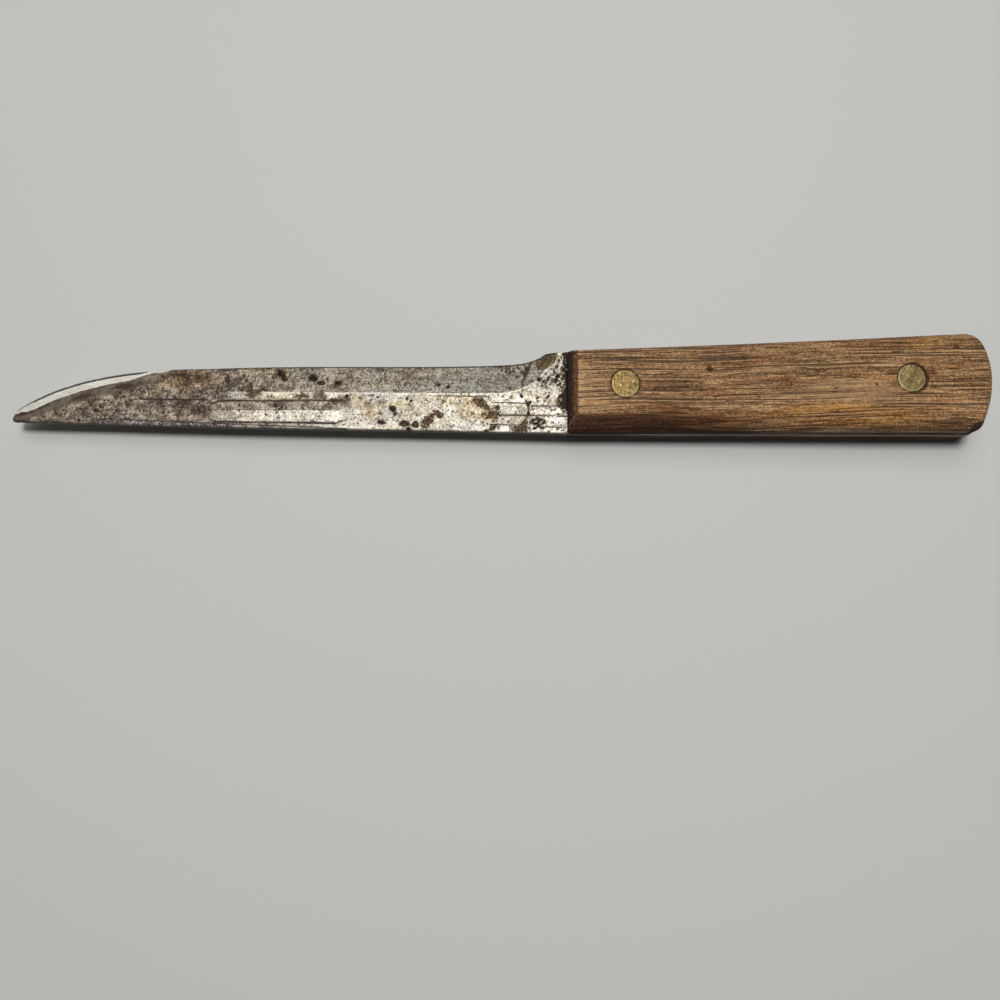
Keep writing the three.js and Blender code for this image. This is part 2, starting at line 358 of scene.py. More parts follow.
class Board:
    """Lays out the nodes of one material and hands out their sockets."""

    def __init__(self, name: str) -> None:
        """Makes the material with its shader and the place of each point in millimetres.

        Args:
            name: The material's name.
        """
        self.material = bpy.data.materials.new(name)
        self.material.use_nodes = True
        self.nodes = self.material.node_tree.nodes
        self.links = self.material.node_tree.links
        self.nodes.clear()
        output = self.nodes.new("ShaderNodeOutputMaterial")
        self.shader = self.nodes.new("ShaderNodeBsdfPrincipled")
        self.links.new(self.shader.outputs[0], output.inputs["Surface"])
        coordinates = self.nodes.new("ShaderNodeTexCoord")
        self.place = self.vector("MULTIPLY", coordinates.outputs["Object"], (1.0 / MM, 1.0 / MM, 1.0 / MM))

    def feed(self, socket: Socket, value: Value | Colour) -> None:
        """Links a socket, or sets its plain value.

        Args:
            socket: The socket to feed.
            value: Another node's socket or a plain value.
        """
        if isinstance(value, bpy.types.NodeSocket):
            self.links.new(value, socket)
        else:
            socket.default_value = value

    def dress(self, **inputs: Value | Colour) -> None:
        """Feeds the shader's sockets.

        Args:
            inputs: Values by socket name, with _ for each space.
        """
        for name, value in inputs.items():
            self.feed(self.shader.inputs[name.replace("_", " ")], value)

    def vector(self, way: str, first: Socket, second: Socket | tuple[float, float, float]) -> Socket:
        """Reckons with two vectors.

        Args:
            way: Blender's name of the operation.
            first: One vector.
            second: The other.

        Returns:
            The result.
        """
        node = self.nodes.new("ShaderNodeVectorMath")
        node.operation = way
        self.feed(node.inputs[0], first)
        self.feed(node.inputs[1], second)
        return node.outputs[0]

    def reckon(self, way: str, *values: Value) -> Socket:
        """Reckons with numbers.

        Args:
            way: Blender's name of the operation.
            values: The numbers in the operation's order.

        Returns:
            The result.
        """
        node = self.nodes.new("ShaderNodeMath")
        node.operation = way
        for socket, value in zip(node.inputs, values):
            self.feed(socket, value)
        return node.outputs[0]

    def texture(self, kind: str, place: Socket, **inputs: float) -> bpy.types.Node:
        """Adds a texture whose lumps are one unit wide.

        Args:
            kind: Blender's name of the texture.
            place: Where it is read.
            inputs: Values by socket name.

        Returns:
            The texture's node.
        """
        node = self.nodes.new(f"ShaderNodeTex{kind}")
        self.links.new(place, node.inputs["Vector"])
        for name, value in {"Scale": 1.0, **inputs}.items():
            node.inputs[name].default_value = value
        return node

    def grain(self, size: tuple[float, float, float], turn: float = 0.0, warp: Socket | None = None,
              shift: float = 0.0) -> Socket:
        """Stretches space so that one unit is a lump of the given size.

        Args:
            size: The lump's length along X, Y and Z in millimetres.
            turn: Turn of the lump about Z in degrees.
            warp: Vector that shifts the place first, in millimetres.
            shift: How far along Y all lumps are shifted.

        Returns:
            The stretched place.
        """
        place = self.place if warp is None else self.vector("ADD", self.place, warp)
        mapping = self.nodes.new("ShaderNodeMapping")
        mapping.vector_type = "TEXTURE"
        mapping.inputs["Location"].default_value = (0.0, shift, 0.0)
        mapping.inputs["Rotation"].default_value = (0.0, 0.0, math.radians(turn))
        mapping.inputs["Scale"].default_value = size
        self.links.new(place, mapping.inputs["Vector"])
        return mapping.outputs[0]

    def noise(self, place: Socket, detail: float = 2.0, rough: float = 0.5) -> Socket:
        """Smooth noise from 0 to 1 with lumps one unit wide.

        Args:
            place: Where it is read.
            detail: Number of finer layers.
            rough: Weight of the finer layers.

        Returns:
            The noise.
        """
        return self.texture("Noise", place, Detail=detail, Roughness=rough).outputs[0]

    def cells(self, place: Socket) -> tuple[Socket, Socket, Socket]:
        """Cells one unit wide, each with random values of its own.

        Args:
            place: Where they are read.

        Returns:
            The distance from the cell's middle, and two random values of the cell.
        """
        node = self.texture("Voronoi", place)
        drawn = self.nodes.new("ShaderNodeSeparateColor")
        self.links.new(node.outputs["Color"], drawn.inputs[0])
        return node.outputs["Distance"], drawn.outputs[0], drawn.outputs[1]

    def dots(self, place: Socket, crowd: Value) -> Socket:
        """Small round dots, more and larger ones where it is crowded.

        Args:
            place: Where they are read, with room for one dot in each unit.
            crowd: From 0 for none to 1 for one in every unit.

        Returns:
            Cover of the dots.
        """
        distance, drawn, _ = self.cells(place)
        radius = self.times(self.sum(self.sum(drawn, crowd), -1.0), 0.7)
        return self.rise(self.sum(radius, distance, -1.0), -0.04, 0.1)

    def grains(self, place: Socket) -> Socket:
        """Grains one unit wide, each of one random value from 0.25 to 0.75.

        Args:
            place: Where they are read.

        Returns:
            The grain's value.
        """
        _, _, drawn = self.cells(place)
        return self.sum(0.25, drawn, 0.5)

    def drift(self, size: tuple[float, float, float], reach: tuple[float, float, float]) -> Socket:
        """A slow wander of the place, for lines that aren't quite straight.

        Args:
            size: Length of one wave along X, Y and Z in millimetres.
            reach: How far it wanders along each axis in millimetres.

        Returns:
            The shift as a vector.
        """
        waves = self.texture("Noise", self.grain(size), Detail=1.0)
        centred = self.vector("SUBTRACT", waves.outputs["Color"], (0.5, 0.5, 0.5))
        return self.vector("MULTIPLY", centred, reach)

    def rise(self, value: Value, low: float, high: float, least: float = 0.0, most: float = 1.0) -> Socket:
        """Turns a value into a smooth rise.

        Args:
            value: What is measured.
            low: Where the rise starts.
            high: Where it ends.
            least: Result before the rise.
            most: Result after the rise.

        Returns:
            The result.
        """
        node = self.nodes.new("ShaderNodeMapRange")
        node.interpolation_type = "SMOOTHSTEP"
        for name, given in (("From Min", low), ("From Max", high), ("To Min", least), ("To Max", most)):
            node.inputs[name].default_value = given
        self.feed(node.inputs["Value"], value)
        return node.outputs[0]

    def sum(self, first: Value, second: Value, times: Value = 1.0) -> Socket:
        """Adds a multiple of one value to another.

        Args:
            first: The value added to.
            second: The value that is added.
            times: What the second is multiplied by.

        Returns:
            first + second * times.
        """
        return self.reckon("MULTIPLY_ADD", second, times, first)

    def times(self, first: Value, second: Value) -> Socket:
        """Multiplies two values."""
        return self.reckon("MULTIPLY", first, second)

    def mix(self, share: Value, under: Value | Colour, over: Value | Colour, way: str = "MIX") -> Socket:
        """Lays one colour over another.

        Args:
            share: Cover of the upper colour.
            under: The lower colour.
            over: The upper colour.
            way: How the two are mixed.

        Returns:
            The mixed colour.
        """
        node = self.nodes.new("ShaderNodeMix")
        node.data_type = "RGBA"
        node.blend_type = way
        self.feed(node.inputs[0], share)
        self.feed(node.inputs[6], under)
        self.feed(node.inputs[7], over)
        return node.outputs[2]

    def shades(self, value: Socket, tones: Tones, spread: float = 0.08) -> Socket:
        """Colours a noise by five tones.

        Args:
            value: The noise, whose middle is 0.5.
            tones: The five tones.
            spread: Step of the noise from one tone to the next.

        Returns:
            The colour.
        """
        node = self.nodes.new("ShaderNodeValToRGB")
        stops = node.color_ramp.elements
        stops.remove(stops[1])
        stops[0].position, stops[0].color = 0.5 - 2.0 * spread, tones.darkest
        for step, colour in enumerate((tones.dark, tones.middle, tones.light, tones.lightest), -1):
            stops.new(0.5 + step * spread).color = colour
        self.links.new(value, node.inputs[0])
        return node.outputs[0]

    def axis(self, name: str) -> Socket:
        """Reads one axis of each point's place.

        Args:
            name: X, Y or Z.

        Returns:
            The place along it in millimetres.
        """
        node = self.nodes.new("ShaderNodeSeparateXYZ")
        self.links.new(self.place, node.inputs[0])
        return node.outputs[name]

    def mingle(self, *parts: tuple[Socket, float]) -> Socket:
        """Adds noises round a middle of 0.5.

        Args:
            parts: Each noise with its weight.

        Returns:
            The mingled noise.
        """
        total = 0.5 - 0.5 * sum(weight for _, weight in parts)
        for noise, weight in parts:
            total = self.sum(total, noise, weight)
        return total

    def level(self, share: Value, under: Value, over: Value) -> Socket:
        """Goes from one number to another.

        Args:
            share: How far to go.
            under: Where it starts.
            over: Where it ends.

        Returns:
            The number between.
        """
        node = self.nodes.new("ShaderNodeMix")
        node.data_type = "FLOAT"
        self.feed(node.inputs[0], share)
        self.feed(node.inputs[2], under)
        self.feed(node.inputs[3], over)
        return node.outputs[0]

    def mark(self, name: str) -> Socket:
        """Reads a value that was painted on the piece.

        Args:
            name: The attribute's name.

        Returns:
            The value.
        """
        node = self.nodes.new("ShaderNodeAttribute")
        node.attribute_name = name
        return node.outputs["Fac"]

    def edged(self, name: str, ragged: Socket, reach: float, low: float, high: float) -> Socket:
        """Gives a painted mark a ragged outline.

        Args:
            name: The attribute's name.
            ragged: Noise that moves the outline.
            reach: How strongly it moves it.
            low: Painted value at which the mark starts to show.
            high: Painted value at which it covers.

        Returns:
            Cover of the mark.
        """
        moved = self.sum(self.sum(self.mark(name), ragged, reach), -0.5 * reach)
        return self.rise(moved, low, high)

    def relief(self, height: Socket, depth: float, under: Socket | None = None) -> Socket:
        """Fine relief for the shader.

        Args:
            height: Height from 0 to 1.
            depth: Millimetres from 0 to 1.
            under: Coarser relief that this one lies on.

        Returns:
            The normal.
        """
        node = self.nodes.new("ShaderNodeBump")
        node.inputs["Distance"].default_value = depth * MM
        self.links.new(height, node.inputs["Height"])
        if under is not None:
            self.links.new(under, node.inputs["Normal"])
        return node.outputs[0]


@dataclass(frozen=True)
class WornSteel:
    """Old carbon steel: bright flats, a grey ground bevel, brown patina, rust, pits and scored lines."""

    flat: Tones = Tones(tone(112, 104, 92), tone(138, 131, 118), tone(157, 150, 137), tone(171, 165, 152),
                        tone(194, 188, 176))
    clean: Tones = Tones(tone(128, 119, 104), tone(164, 155, 139), tone(190, 182, 166), tone(207, 200, 185),
                         tone(228, 222, 209))
    # The bevel's tones are darker than the flat's partly for its duller ground finish and partly as a painted
    # reflection, as if the tilted bevel mirrored a darker part of the room.
    ground: Tones = Tones(tone(84, 78, 69), tone(106, 101, 91), tone(124, 119, 109), tone(141, 136, 126),
                          tone(166, 161, 150))
    ground_old: Tones = Tones(tone(62, 53, 43), tone(94, 83, 68), tone(126, 113, 95), tone(152, 140, 121),
                              tone(188, 176, 156))
    patina: Tones = Tones(tone(70, 60, 51), tone(106, 93, 81), tone(138, 124, 109), tone(162, 148, 131),
                          tone(200, 186, 167))
    violet: Tones = Tones(tone(46, 40, 39), tone(84, 75, 72), tone(112, 102, 98), tone(138, 128, 122),
                          tone(190, 181, 173))
    fresh: Tones = Tones(tone(186, 178, 164), tone(220, 213, 199), tone(236, 230, 217), tone(244, 239, 228),
                         tone(250, 247, 240))
    tan: Colour = tone(255, 242, 220)
    blue: Colour = tone(230, 236, 248)
    shade: Colour = tone(168, 156, 146)
    olive: Colour = tone(106, 89, 66)
    umber: Colour = tone(68, 54, 39)
    # painted shade: a dark line along the cutting edge, standing in for the dark reflection of its
    # micro-bevel
    lip: Colour = tone(48, 43, 37)
    fleck: Colour = tone(58, 47, 38)
    rust: Colour = tone(106, 85, 66)
    rust_dark: Colour = tone(48, 37, 28)
    halo: Colour = tone(244, 229, 198)
    pit: Colour = tone(34, 27, 22)
    score: Colour = tone(60, 50, 41)
    # dirt at the handle's front, together with painted shade where the blade meets the handle
    grime_and_shade: Colour = tone(44, 35, 29)
    # dark patina on the spine's face, together with painted shade, since that face turns away from the lamps
    spine_patina_and_shade: Colour = tone(46, 40, 35)

    def material(self) -> bpy.types.Material:
        """Lays out the nodes.

        Returns:
            The material.
        """
        board = Board("worn_steel")
        body = board.noise(board.grain((2.8, 2.0, 2.0), 8.0), detail=3.0, rough=0.75)
        speck = board.noise(board.grain((0.44, 0.4, 0.4), 60.0), detail=0.0)
        cloud = board.noise(board.grain((9.0, 5.0, 5.0)), detail=2.0, rough=0.6)
        tint = board.noise(board.grain((6.0, 3.6, 3.6), 25.0), detail=4.0, rough=0.75)
        patch = board.noise(board.grain((5.0, 3.0, 3.0), -15.0), detail=5.0, rough=0.65)
        streak = board.noise(board.grain((26.0, 0.6, 0.6)), detail=3.0)
        hone = board.noise(board.grain((6.0, 0.34, 0.34), 1.0), detail=2.0)
        smear = board.noise(board.grain((9.0, 1.1, 1.1), 9.0), detail=4.0, rough=0.6)
        grit = board.noise(board.grain((0.8, 0.7, 0.7), 30.0), detail=1.0, rough=0.5)
        rag = board.noise(board.grain((0.9, 0.8, 0.8)), detail=5.0, rough=0.75)
        chip = board.noise(board.grain((0.7, 0.6, 0.6), 25.0), detail=4.0, rough=0.75)
        jitter = board.drift((0.7, 0.6, 0.6), (0.5, 0.5, 0.5))
        salt = board.grains(board.grain((0.6, 0.5, 0.5), 35.0, jitter))
        sand = board.grains(board.grain((0.34, 0.3, 0.3), -20.0, jitter))

        age = board.sum(board.sum(board.mark("tarnish"), patch, 0.6), -0.3)
        tarnish = board.edged("tarnish", patch, 0.9, 0.28, 0.78)
        mottle = board.mingle((cloud, 0.25), (body, 0.7), (speck, 0.25), (salt, 0.38), (sand, 0.5))
        lined = board.mingle((cloud, 0.2), (body, 0.4), (speck, 0.25), (salt, 0.38), (sand, 0.5), (hone, 0.3))
        clouded = board.mingle((cloud, 0.35), (body, 0.8), (speck, 0.2), (salt, 0.28), (sand, 0.4),
                               (smear, -0.35))
        mottle, lined, clouded = (board.sum(noise, board.mark("lift")) for noise in (mottle, lined, clouded))
        clouded = board.level(board.times(board.mark("calm"), 0.7), clouded, 0.42)
        polished = board.mingle((cloud, 0.3), (body, 0.3), (speck, 0.2), (hone, 0.3))
        flat = board.mix(board.mark("worn"), board.shades(mottle, self.flat), board.shades(lined, self.clean))
        # Painted highlight: a thin bright line along the flat's border just below the bevel.
        lit = board.times(board.rise(board.mark("bevel"), 0.28, 0.38), board.rise(rag, 0.4, 0.6))
        lit = board.times(lit, board.rise(age, 0.4, 0.2, most=0.45))
        flat = board.mix(lit, flat, self.clean.lightest)
        ground = board.mix(board.rise(age, 0.02, 0.42), board.shades(lined, self.ground),
                           board.shades(mottle, self.ground_old))
        bevel = board.edged("bevel", rag, 0.1, 0.47, 0.53)
        colour = board.mix(bevel, flat, ground)
        brown = board.shades(clouded, self.patina)
        colour = board.mix(tarnish, colour, brown)
        violet = board.edged("violet", smear, 0.9, 0.3, 0.8)
        colour = board.mix(violet, colour, board.shades(lined, self.violet))
        colour = board.mix(board.rise(tint, 0.5, 0.66, most=0.7), colour, self.tan, "MULTIPLY")
        colour = board.mix(board.rise(tint, 0.46, 0.34, most=0.7), colour, self.blue, "MULTIPLY")
        dark = board.edged("dark", rag, 0.7, 0.25, 0.85)
        colour = board.mix(dark, colour, self.shade, "MULTIPLY")
        olive = board.edged("olive", rag, 0.12, 0.5, 0.56)
        browned = board.mix(board.rise(mottle, 0.4, 0.64), self.umber, self.olive)
        colour = board.mix(board.times(olive, 0.94), colour, browned)
        heel = board.mark("olive")
        outline = board.times(board.rise(heel, 0.3, 0.48), board.rise(heel, 0.7, 0.52))
        colour = board.mix(board.times(outline, 0.6), colour, self.fleck)

        old = board.rise(age, 0.12, 0.45)
        pepper = board.rise(board.mark("pepper"), 0.2, 0.7)
        crowd = board.sum(board.sum(board.rise(patch, 0.36, 0.62, 0.3, 0.8), pepper, 0.3), old, -0.08)
        crowd = board.sum(crowd, board.rise(board.mark("rust"), 0.05, 0.4), 0.25)
        crowd = board.sum(board.sum(crowd, board.mark("worn"), 0.1), board.mark("calm"), -0.6)
        crowd = board.sum(crowd, board.times(bevel, board.sum(1.0, old, -1.0)), -0.2)
        fine = board.dots(board.grain((0.95, 0.85, 0.85), 20.0, jitter), crowd)
        coarse = board.dots(board.grain((1.9, 1.6, 1.6), -35.0, jitter), board.sum(crowd, -0.3))
        flecks = board.level(coarse, board.times(fine, 0.85), 1.0)
        colour = board.mix(board.times(flecks, 0.88), colour, self.fleck)
        fresh = board.edged("facet", rag, 0.3, 0.46, 0.54)
        colour = board.mix(board.times(fresh, 0.95), colour, board.shades(polished, self.fresh))
        # Painted shade: a dark line along the cutting edge, standing in for the dark reflection of its
        # micro-bevel.
        lip = board.edged("lip", rag, 0.8, 0.3, 0.6)
        colour = board.mix(board.times(lip, 0.94), colour, self.lip)

        stain = board.edged("stain", patch, 0.6, 0.35, 0.85)
        colour = board.mix(board.times(stain, 0.7), colour, self.halo, "MULTIPLY")
        halo = board.edged("rust", rag, 0.8, 0.2, 0.55)
        colour = board.mix(board.times(halo, 0.7), colour, self.halo, "MULTIPLY")
        eroded = board.mingle((chip, 1.0), (body, 0.8))
        crumb = board.sum(chip, salt, 0.7)
        rust = board.times(board.edged("rust", eroded, 1.2, 0.32, 0.5), board.rise(crumb, 0.74, 0.9))
        rust = board.level(board.edged("rust", eroded, 1.2, 0.56, 0.72), rust, 1.0)
        inside = board.times(board.edged("rust", eroded, 1.2, 0.5, 0.76), board.rise(crumb, 0.7, 1.0))
        rusty = board.mix(inside, self.rust_dark, self.rust)
        colour = board.mix(board.times(rust, 0.97), colour, rusty)
        ring = board.edged("pit", rag, 0.8, 0.25, 0.5)
        colour = board.mix(board.times(ring, 0.35), colour, self.rust)
        pit = board.edged("pit", eroded, 1.1, 0.4, 0.58)
        crumbled = board.rise(board.sum(rag, body, 0.8), 0.8, 1.02)
        eaten = board.times(board.edged("pit", eroded, 1.1, 0.6, 0.85), crumbled)
        deep = board.mix(eaten, self.pit, self.rust)
        colour = board.mix(board.times(pit, 0.98), colour, deep)
        faint = board.rise(smear, 0.3, 0.5, 0.6, 0.96)
        score = board.times(board.edged("score", chip, 0.8, 0.26, 0.66), faint)
        colour = board.mix(score, colour, self.score)
        # Dirt at the handle's front, together with painted shade where the blade meets the handle.
        grime_and_shade = board.edged("grime_and_shade", board.mingle((chip, 0.8), (salt, 0.7)), 1.9, 0.42, 0.62)
        colour = board.mix(board.times(grime_and_shade, 0.97), colour, self.grime_and_shade)
        # The spine's face is painted dark: patina together with painted shade.
        rim = board.mark("rim")
        colour = board.mix(board.times(rim, 0.9), colour, self.spine_patina_and_shade)

        foul = board.level(rust, board.level(pit, board.times(grime_and_shade, 0.97), 1.0), 1.0)
        metal = board.level(board.times(tarnish, 0.45), 0.95, 0.5)
        metal = board.level(board.times(flecks, 0.6), metal, 0.2)
        metal = board.level(rim, board.level(fresh, metal, 0.4), 0.25)
        rough = board.level(bevel, 0.34, 0.42)
        rough = board.level(rim, board.level(tarnish, rough, 0.52), 0.6)
        rough = board.sum(board.level(fresh, rough, 0.28), speck, 0.1)
        board.dress(Base_Color=colour, Metallic=board.level(foul, metal, 0.0),
                    Roughness=board.level(foul, rough, 0.85), Specular_IOR_Level=board.level(foul, 0.5, 0.1))
        uneven = board.relief(board.sum(grit, body, 0.8), 0.03)
        ruled = board.relief(board.sum(streak, hone, 0.4), 0.04, uneven)
        holed = board.relief(flecks, -0.05, ruled)
        board.dress(Normal=board.relief(speck, 0.01, holed))
        return board.material


@dataclass(frozen=True)
class HiddenSteel:
    """The tang: steel sanded flush with the wood, dark with handling and worn bright on its corners, where a
    painted glint also runs along them.
    """

    middle: float
    half: float
    front: float
    # painted glint along the tang's corners
    bright: Colour = tone(132, 123, 117)
    dull: Colour = tone(70, 61, 56)
    dark: Colour = tone(44, 37, 33)

    def material(self) -> bpy.types.Material:
        """Lays out the nodes.

        Returns:
            The material.
        """
        board = Board("tang_steel")
        patch = board.noise(board.grain((16.0, 3.0, 3.0)), detail=4.0, rough=0.65)
        scratch = board.noise(board.grain((7.0, 0.4, 0.3)), detail=3.0)
        grit = board.noise(board.grain((0.8, 0.5, 0.5)), detail=3.0)
        height = board.sum(board.sum(board.axis("Z"), -self.middle), board.sum(grit, -0.5), 0.5)
        # Painted glint: thin bright lines along the tang's upper and lower corners, also standing for their
        # bright wear.
        upper = board.rise(height, 0.1 * self.half, 0.7 * self.half)
        lower = board.rise(height, -0.55 * self.half, -0.9 * self.half)
        lower = board.times(lower, board.rise(patch, 0.5, 0.6))
        colour = board.mix(board.rise(scratch, 0.42, 0.62), self.dark, self.dull)
        patchy = board.rise(board.sum(patch, scratch, 0.5), 0.56, 0.82, 0.45, 1.0)
        rubbed_glint = board.times(board.sum(upper, lower), patchy)
        handled = board.rise(board.axis("X"), self.front + 10.0, self.front + 24.0)
        rubbed_glint = board.times(rubbed_glint, board.level(handled, 0.1, 1.0))
        colour = board.mix(handled, self.dark, board.mix(rubbed_glint, colour, self.bright))
        board.dress(Base_Color=colour, Metallic=board.times(board.level(rubbed_glint, 0.3, 0.85), handled),
                    Roughness=board.rise(scratch, 0.3, 0.7, 0.4, 0.6),
                    Specular_IOR_Level=board.level(rubbed_glint, 0.1, 0.5),
                    Normal=board.relief(board.sum(grit, scratch, 0.7), 0.04))
        return board.material


@dataclass(frozen=True)
class OiledWood:
    """Worn open-pored hardwood: long fibres, dark veins with a painted highlight beside them, pale lines,
    edges darkened by stains and painted shade, and sooty end grain.
    """

    plain: Tones = Tones(tone(78, 54, 34), tone(107, 79, 51), tone(134, 101, 67), tone(154, 119, 82),
                         tone(188, 153, 112))
    vein: Colour = tone(54, 36, 26)
    golden: Colour = tone(255, 236, 192)
    ruddy: Colour = tone(255, 238, 226)
    grey: Colour = tone(236, 237, 236)
    # dark stains, also used as painted shade on the scales' back and next to the tang
    stain: Colour = tone(52, 33, 24)
    rufous: Colour = tone(80, 50, 32)
    soot: Colour = tone(46, 37, 32)
    scorch: Colour = tone(104, 77, 57)
    dust: Colour = tone(196, 172, 142)
    lean: float = 1.1

    def material(self) -> bpy.types.Material:
        """Lays out the nodes.

        Returns:
            The material.
        """
        board = Board("oiled_wood")
        warp = board.drift((45.0, 14.0, 14.0), (0.0, 2.0, 2.0))
        figure = board.noise(board.grain((70.0, 3.0, 3.6), self.lean, warp), detail=2.0, rough=0.6)
        fibre = board.noise(board.grain((24.0, 0.85, 1.2), self.lean, warp), detail=2.0, rough=0.8)
        thread = board.noise(board.grain((16.0, 0.34, 0.45), self.lean, warp), detail=0.0)
        speck = board.noise(board.grain((0.6, 0.4, 0.45), self.lean), detail=0.0)
        veins = board.noise(board.grain((36.0, 0.6, 0.9), self.lean, warp), detail=1.0, rough=0.5)
        beside = board.noise(board.grain((36.0, 0.6, 0.9), self.lean, warp, -0.34), detail=1.0, rough=0.5)
        pores = board.noise(board.grain((4.0, 0.3, 0.4), self.lean, warp), detail=0.0)
        zone = board.noise(board.grain((40.0, 8.0, 8.0), self.lean), detail=2.0)
        hue = board.noise(board.grain((18.0, 3.0, 4.0), self.lean, warp), detail=3.0, rough=0.6)
        rag = board.noise(board.grain((12.0, 0.7, 0.9), self.lean, warp), detail=5.0, rough=0.75)
        dot = board.noise(board.grain((0.55, 0.5, 0.5)), detail=2.0, rough=0.6)

        shade = board.mingle((fibre, 0.56), (figure, -0.2), (thread, 0.34), (speck, 0.38))
        shade = board.sum(shade, board.mark("lift"))
        colour = board.shades(shade, self.plain)
        colour = board.mix(board.rise(hue, 0.5, 0.64), colour, self.ruddy, "MULTIPLY")
        colour = board.mix(board.rise(hue, 0.46, 0.34), colour, self.grey, "MULTIPLY")
        gold = board.edged("gold", zone, 0.5, 0.3, 0.9)
        colour = board.mix(gold, colour, self.golden, "MULTIPLY")
        pale = board.edged("pale", zone, 0.5, 0.3, 0.9)
        colour = board.mix(board.times(pale, 0.3), colour, self.plain.lightest)
        # Painted highlight: a pale line beside each vein, as if light caught the edge of its groove.
        vein_highlight = board.rise(board.sum(beside, speck, 0.15), 0.64, 0.74)
        colour = board.mix(board.times(vein_highlight, 0.55), colour, self.plain.lightest)
        crowded = board.sum(board.sum(veins, speck, 0.1), board.mark("veined"), 0.075)
        lined = board.rise(crowded, 0.61, 0.71)
        colour = board.mix(board.times(lined, 0.75), colour, self.vein)
        hole = board.rise(board.sum(pores, zone, 0.2), 0.76, 0.84)
        colour = board.mix(board.times(hole, 0.7), colour, self.vein)
        worn = board.times(board.mark("worn"), board.rise(thread, 0.4, 0.5))
        colour = board.mix(board.times(worn, 0.7), colour, self.plain.lightest)
        # Stains, and painted shade on the back and next to the tang, share these colours.
        stain = board.edged("stain", rag, 1.3, 0.4, 0.7)
        scorched = board.rise(board.sum(fibre, speck, 0.5), 0.76, 0.92, most=0.5)
        stained = board.mix(scorched, self.stain, self.scorch)
        stained = board.mix(board.edged("stain", rag, 1.3, 0.85, 0.6), stained, self.rufous)
        colour = board.mix(board.times(stain, 0.9), colour, stained)
        # Soot on the front end grain; its blackest part at the foot also stands for painted shade.
        soot = board.edged("soot", dot, 0.3, 0.3, 0.42)
        deep = board.edged("soot", dot, 0.5, 0.5, 0.8)
        sooty = board.mix(board.rise(dot, 0.5, 0.66, most=0.8), self.scorch, self.soot)
        sooty = board.mix(board.rise(dot, 0.42, 0.3, most=0.4), sooty, self.dust)
        sooty = board.mix(deep, sooty, self.soot)
        colour = board.mix(board.times(soot, 0.96), colour, sooty)
        char = board.edged("char", rag, 1.3, 0.4, 0.75)
        colour = board.mix(board.times(char, 0.9), colour, self.soot)
        rough = board.level(hole, board.rise(thread, 0.3, 0.7, 0.46, 0.58), 0.8)
        dirty = board.level(soot, board.level(char, stain, 1.0), 1.0)
        board.dress(Base_Color=colour, Roughness=board.level(dirty, rough, 0.9),
                    Specular_IOR_Level=board.level(dirty, 0.22, 0.06))
        ridged = board.relief(board.sum(thread, fibre, 0.8), 0.09)
        grooved = board.relief(lined, -0.06, ridged)
        board.dress(Normal=board.relief(hole, -0.1, grooved))
        return board.material


@dataclass(frozen=True)
class DullBrass:
    """Brass that was sanded flush with the wood and has dulled since."""

    name: str
    sanding: float
    metal: Tones
    # painted highlight on the lower arc of the rim
    worn: Colour = tone(206, 188, 136)
    grime_and_shade: Colour = tone(58, 46, 32)

    def material(self) -> bpy.types.Material:
        """Lays out the nodes.

        Returns:
            The material.
        """
        board = Board(self.name)
        patch = board.noise(board.grain((2.6, 2.0, 2.0), self.sanding), detail=3.0, rough=0.9)
        scratch = board.noise(board.grain((4.0, 0.26, 0.4), self.sanding), detail=2.0, rough=0.6)
        cross = board.noise(board.grain((3.0, 0.3, 0.4), self.sanding + 74.0), detail=1.0)
        grit = board.noise(board.grain((0.55, 0.5, 0.5)), detail=1.0, rough=0.65)
        shade = board.mingle((patch, 0.5), (scratch, 0.4), (cross, 0.25), (grit, 0.3))
        colour = board.shades(shade, self.metal)
        # Painted highlight: the rim is lit on its lower arc.
        colour = board.mix(board.times(board.mark("rim"), 0.7), colour, self.worn)
        grime_and_shade = board.edged("grime_and_shade", grit, 0.4, 0.4, 0.75)
        colour = board.mix(board.times(grime_and_shade, 0.85), colour, self.grime_and_shade)
        rough = board.rise(patch, 0.3, 0.7, 0.36, 0.5)
        board.dress(Base_Color=colour, Metallic=board.level(grime_and_shade, 0.92, 0.2),
                    Roughness=board.level(grime_and_shade, rough, 0.75))
        lined = board.relief(board.sum(scratch, cross, 0.7), 0.05)
        board.dress(Normal=board.relief(grit, 0.02, lined))
        return board.material


@dataclass(frozen=True)
class PaleFloor:
    """A plain pale table top, which keeps its tone to the horizon, where the lamps no longer reach."""

    colour: Colour = tone(196, 196, 193)
    near: float = 200.0
    far: float = 1200.0
    glow: float = 0.76

    def material(self) -> bpy.types.Material:
        """Lays out the nodes.

        Returns:
            The material.
        """
        board = Board("pale_floor")
        board.dress(Base_Color=self.colour, Roughness=0.7, Specular_IOR_Level=0.25)
        away = board.nodes.new("ShaderNodeVectorMath")
        away.operation = "LENGTH"
        board.links.new(board.place, away.inputs[0])
        path = board.nodes.new("ShaderNodeLightPath")
        seen = board.sum(path.outputs["Is Camera Ray"], path.outputs["Is Glossy Ray"])
        seen = board.sum(seen, path.outputs["Is Transmission Ray"])
        distant = board.rise(away.outputs["Value"], self.near, self.far, most=self.glow)
        board.dress(Emission_Color=self.colour, Emission_Strength=board.times(distant, seen))
        return board.material


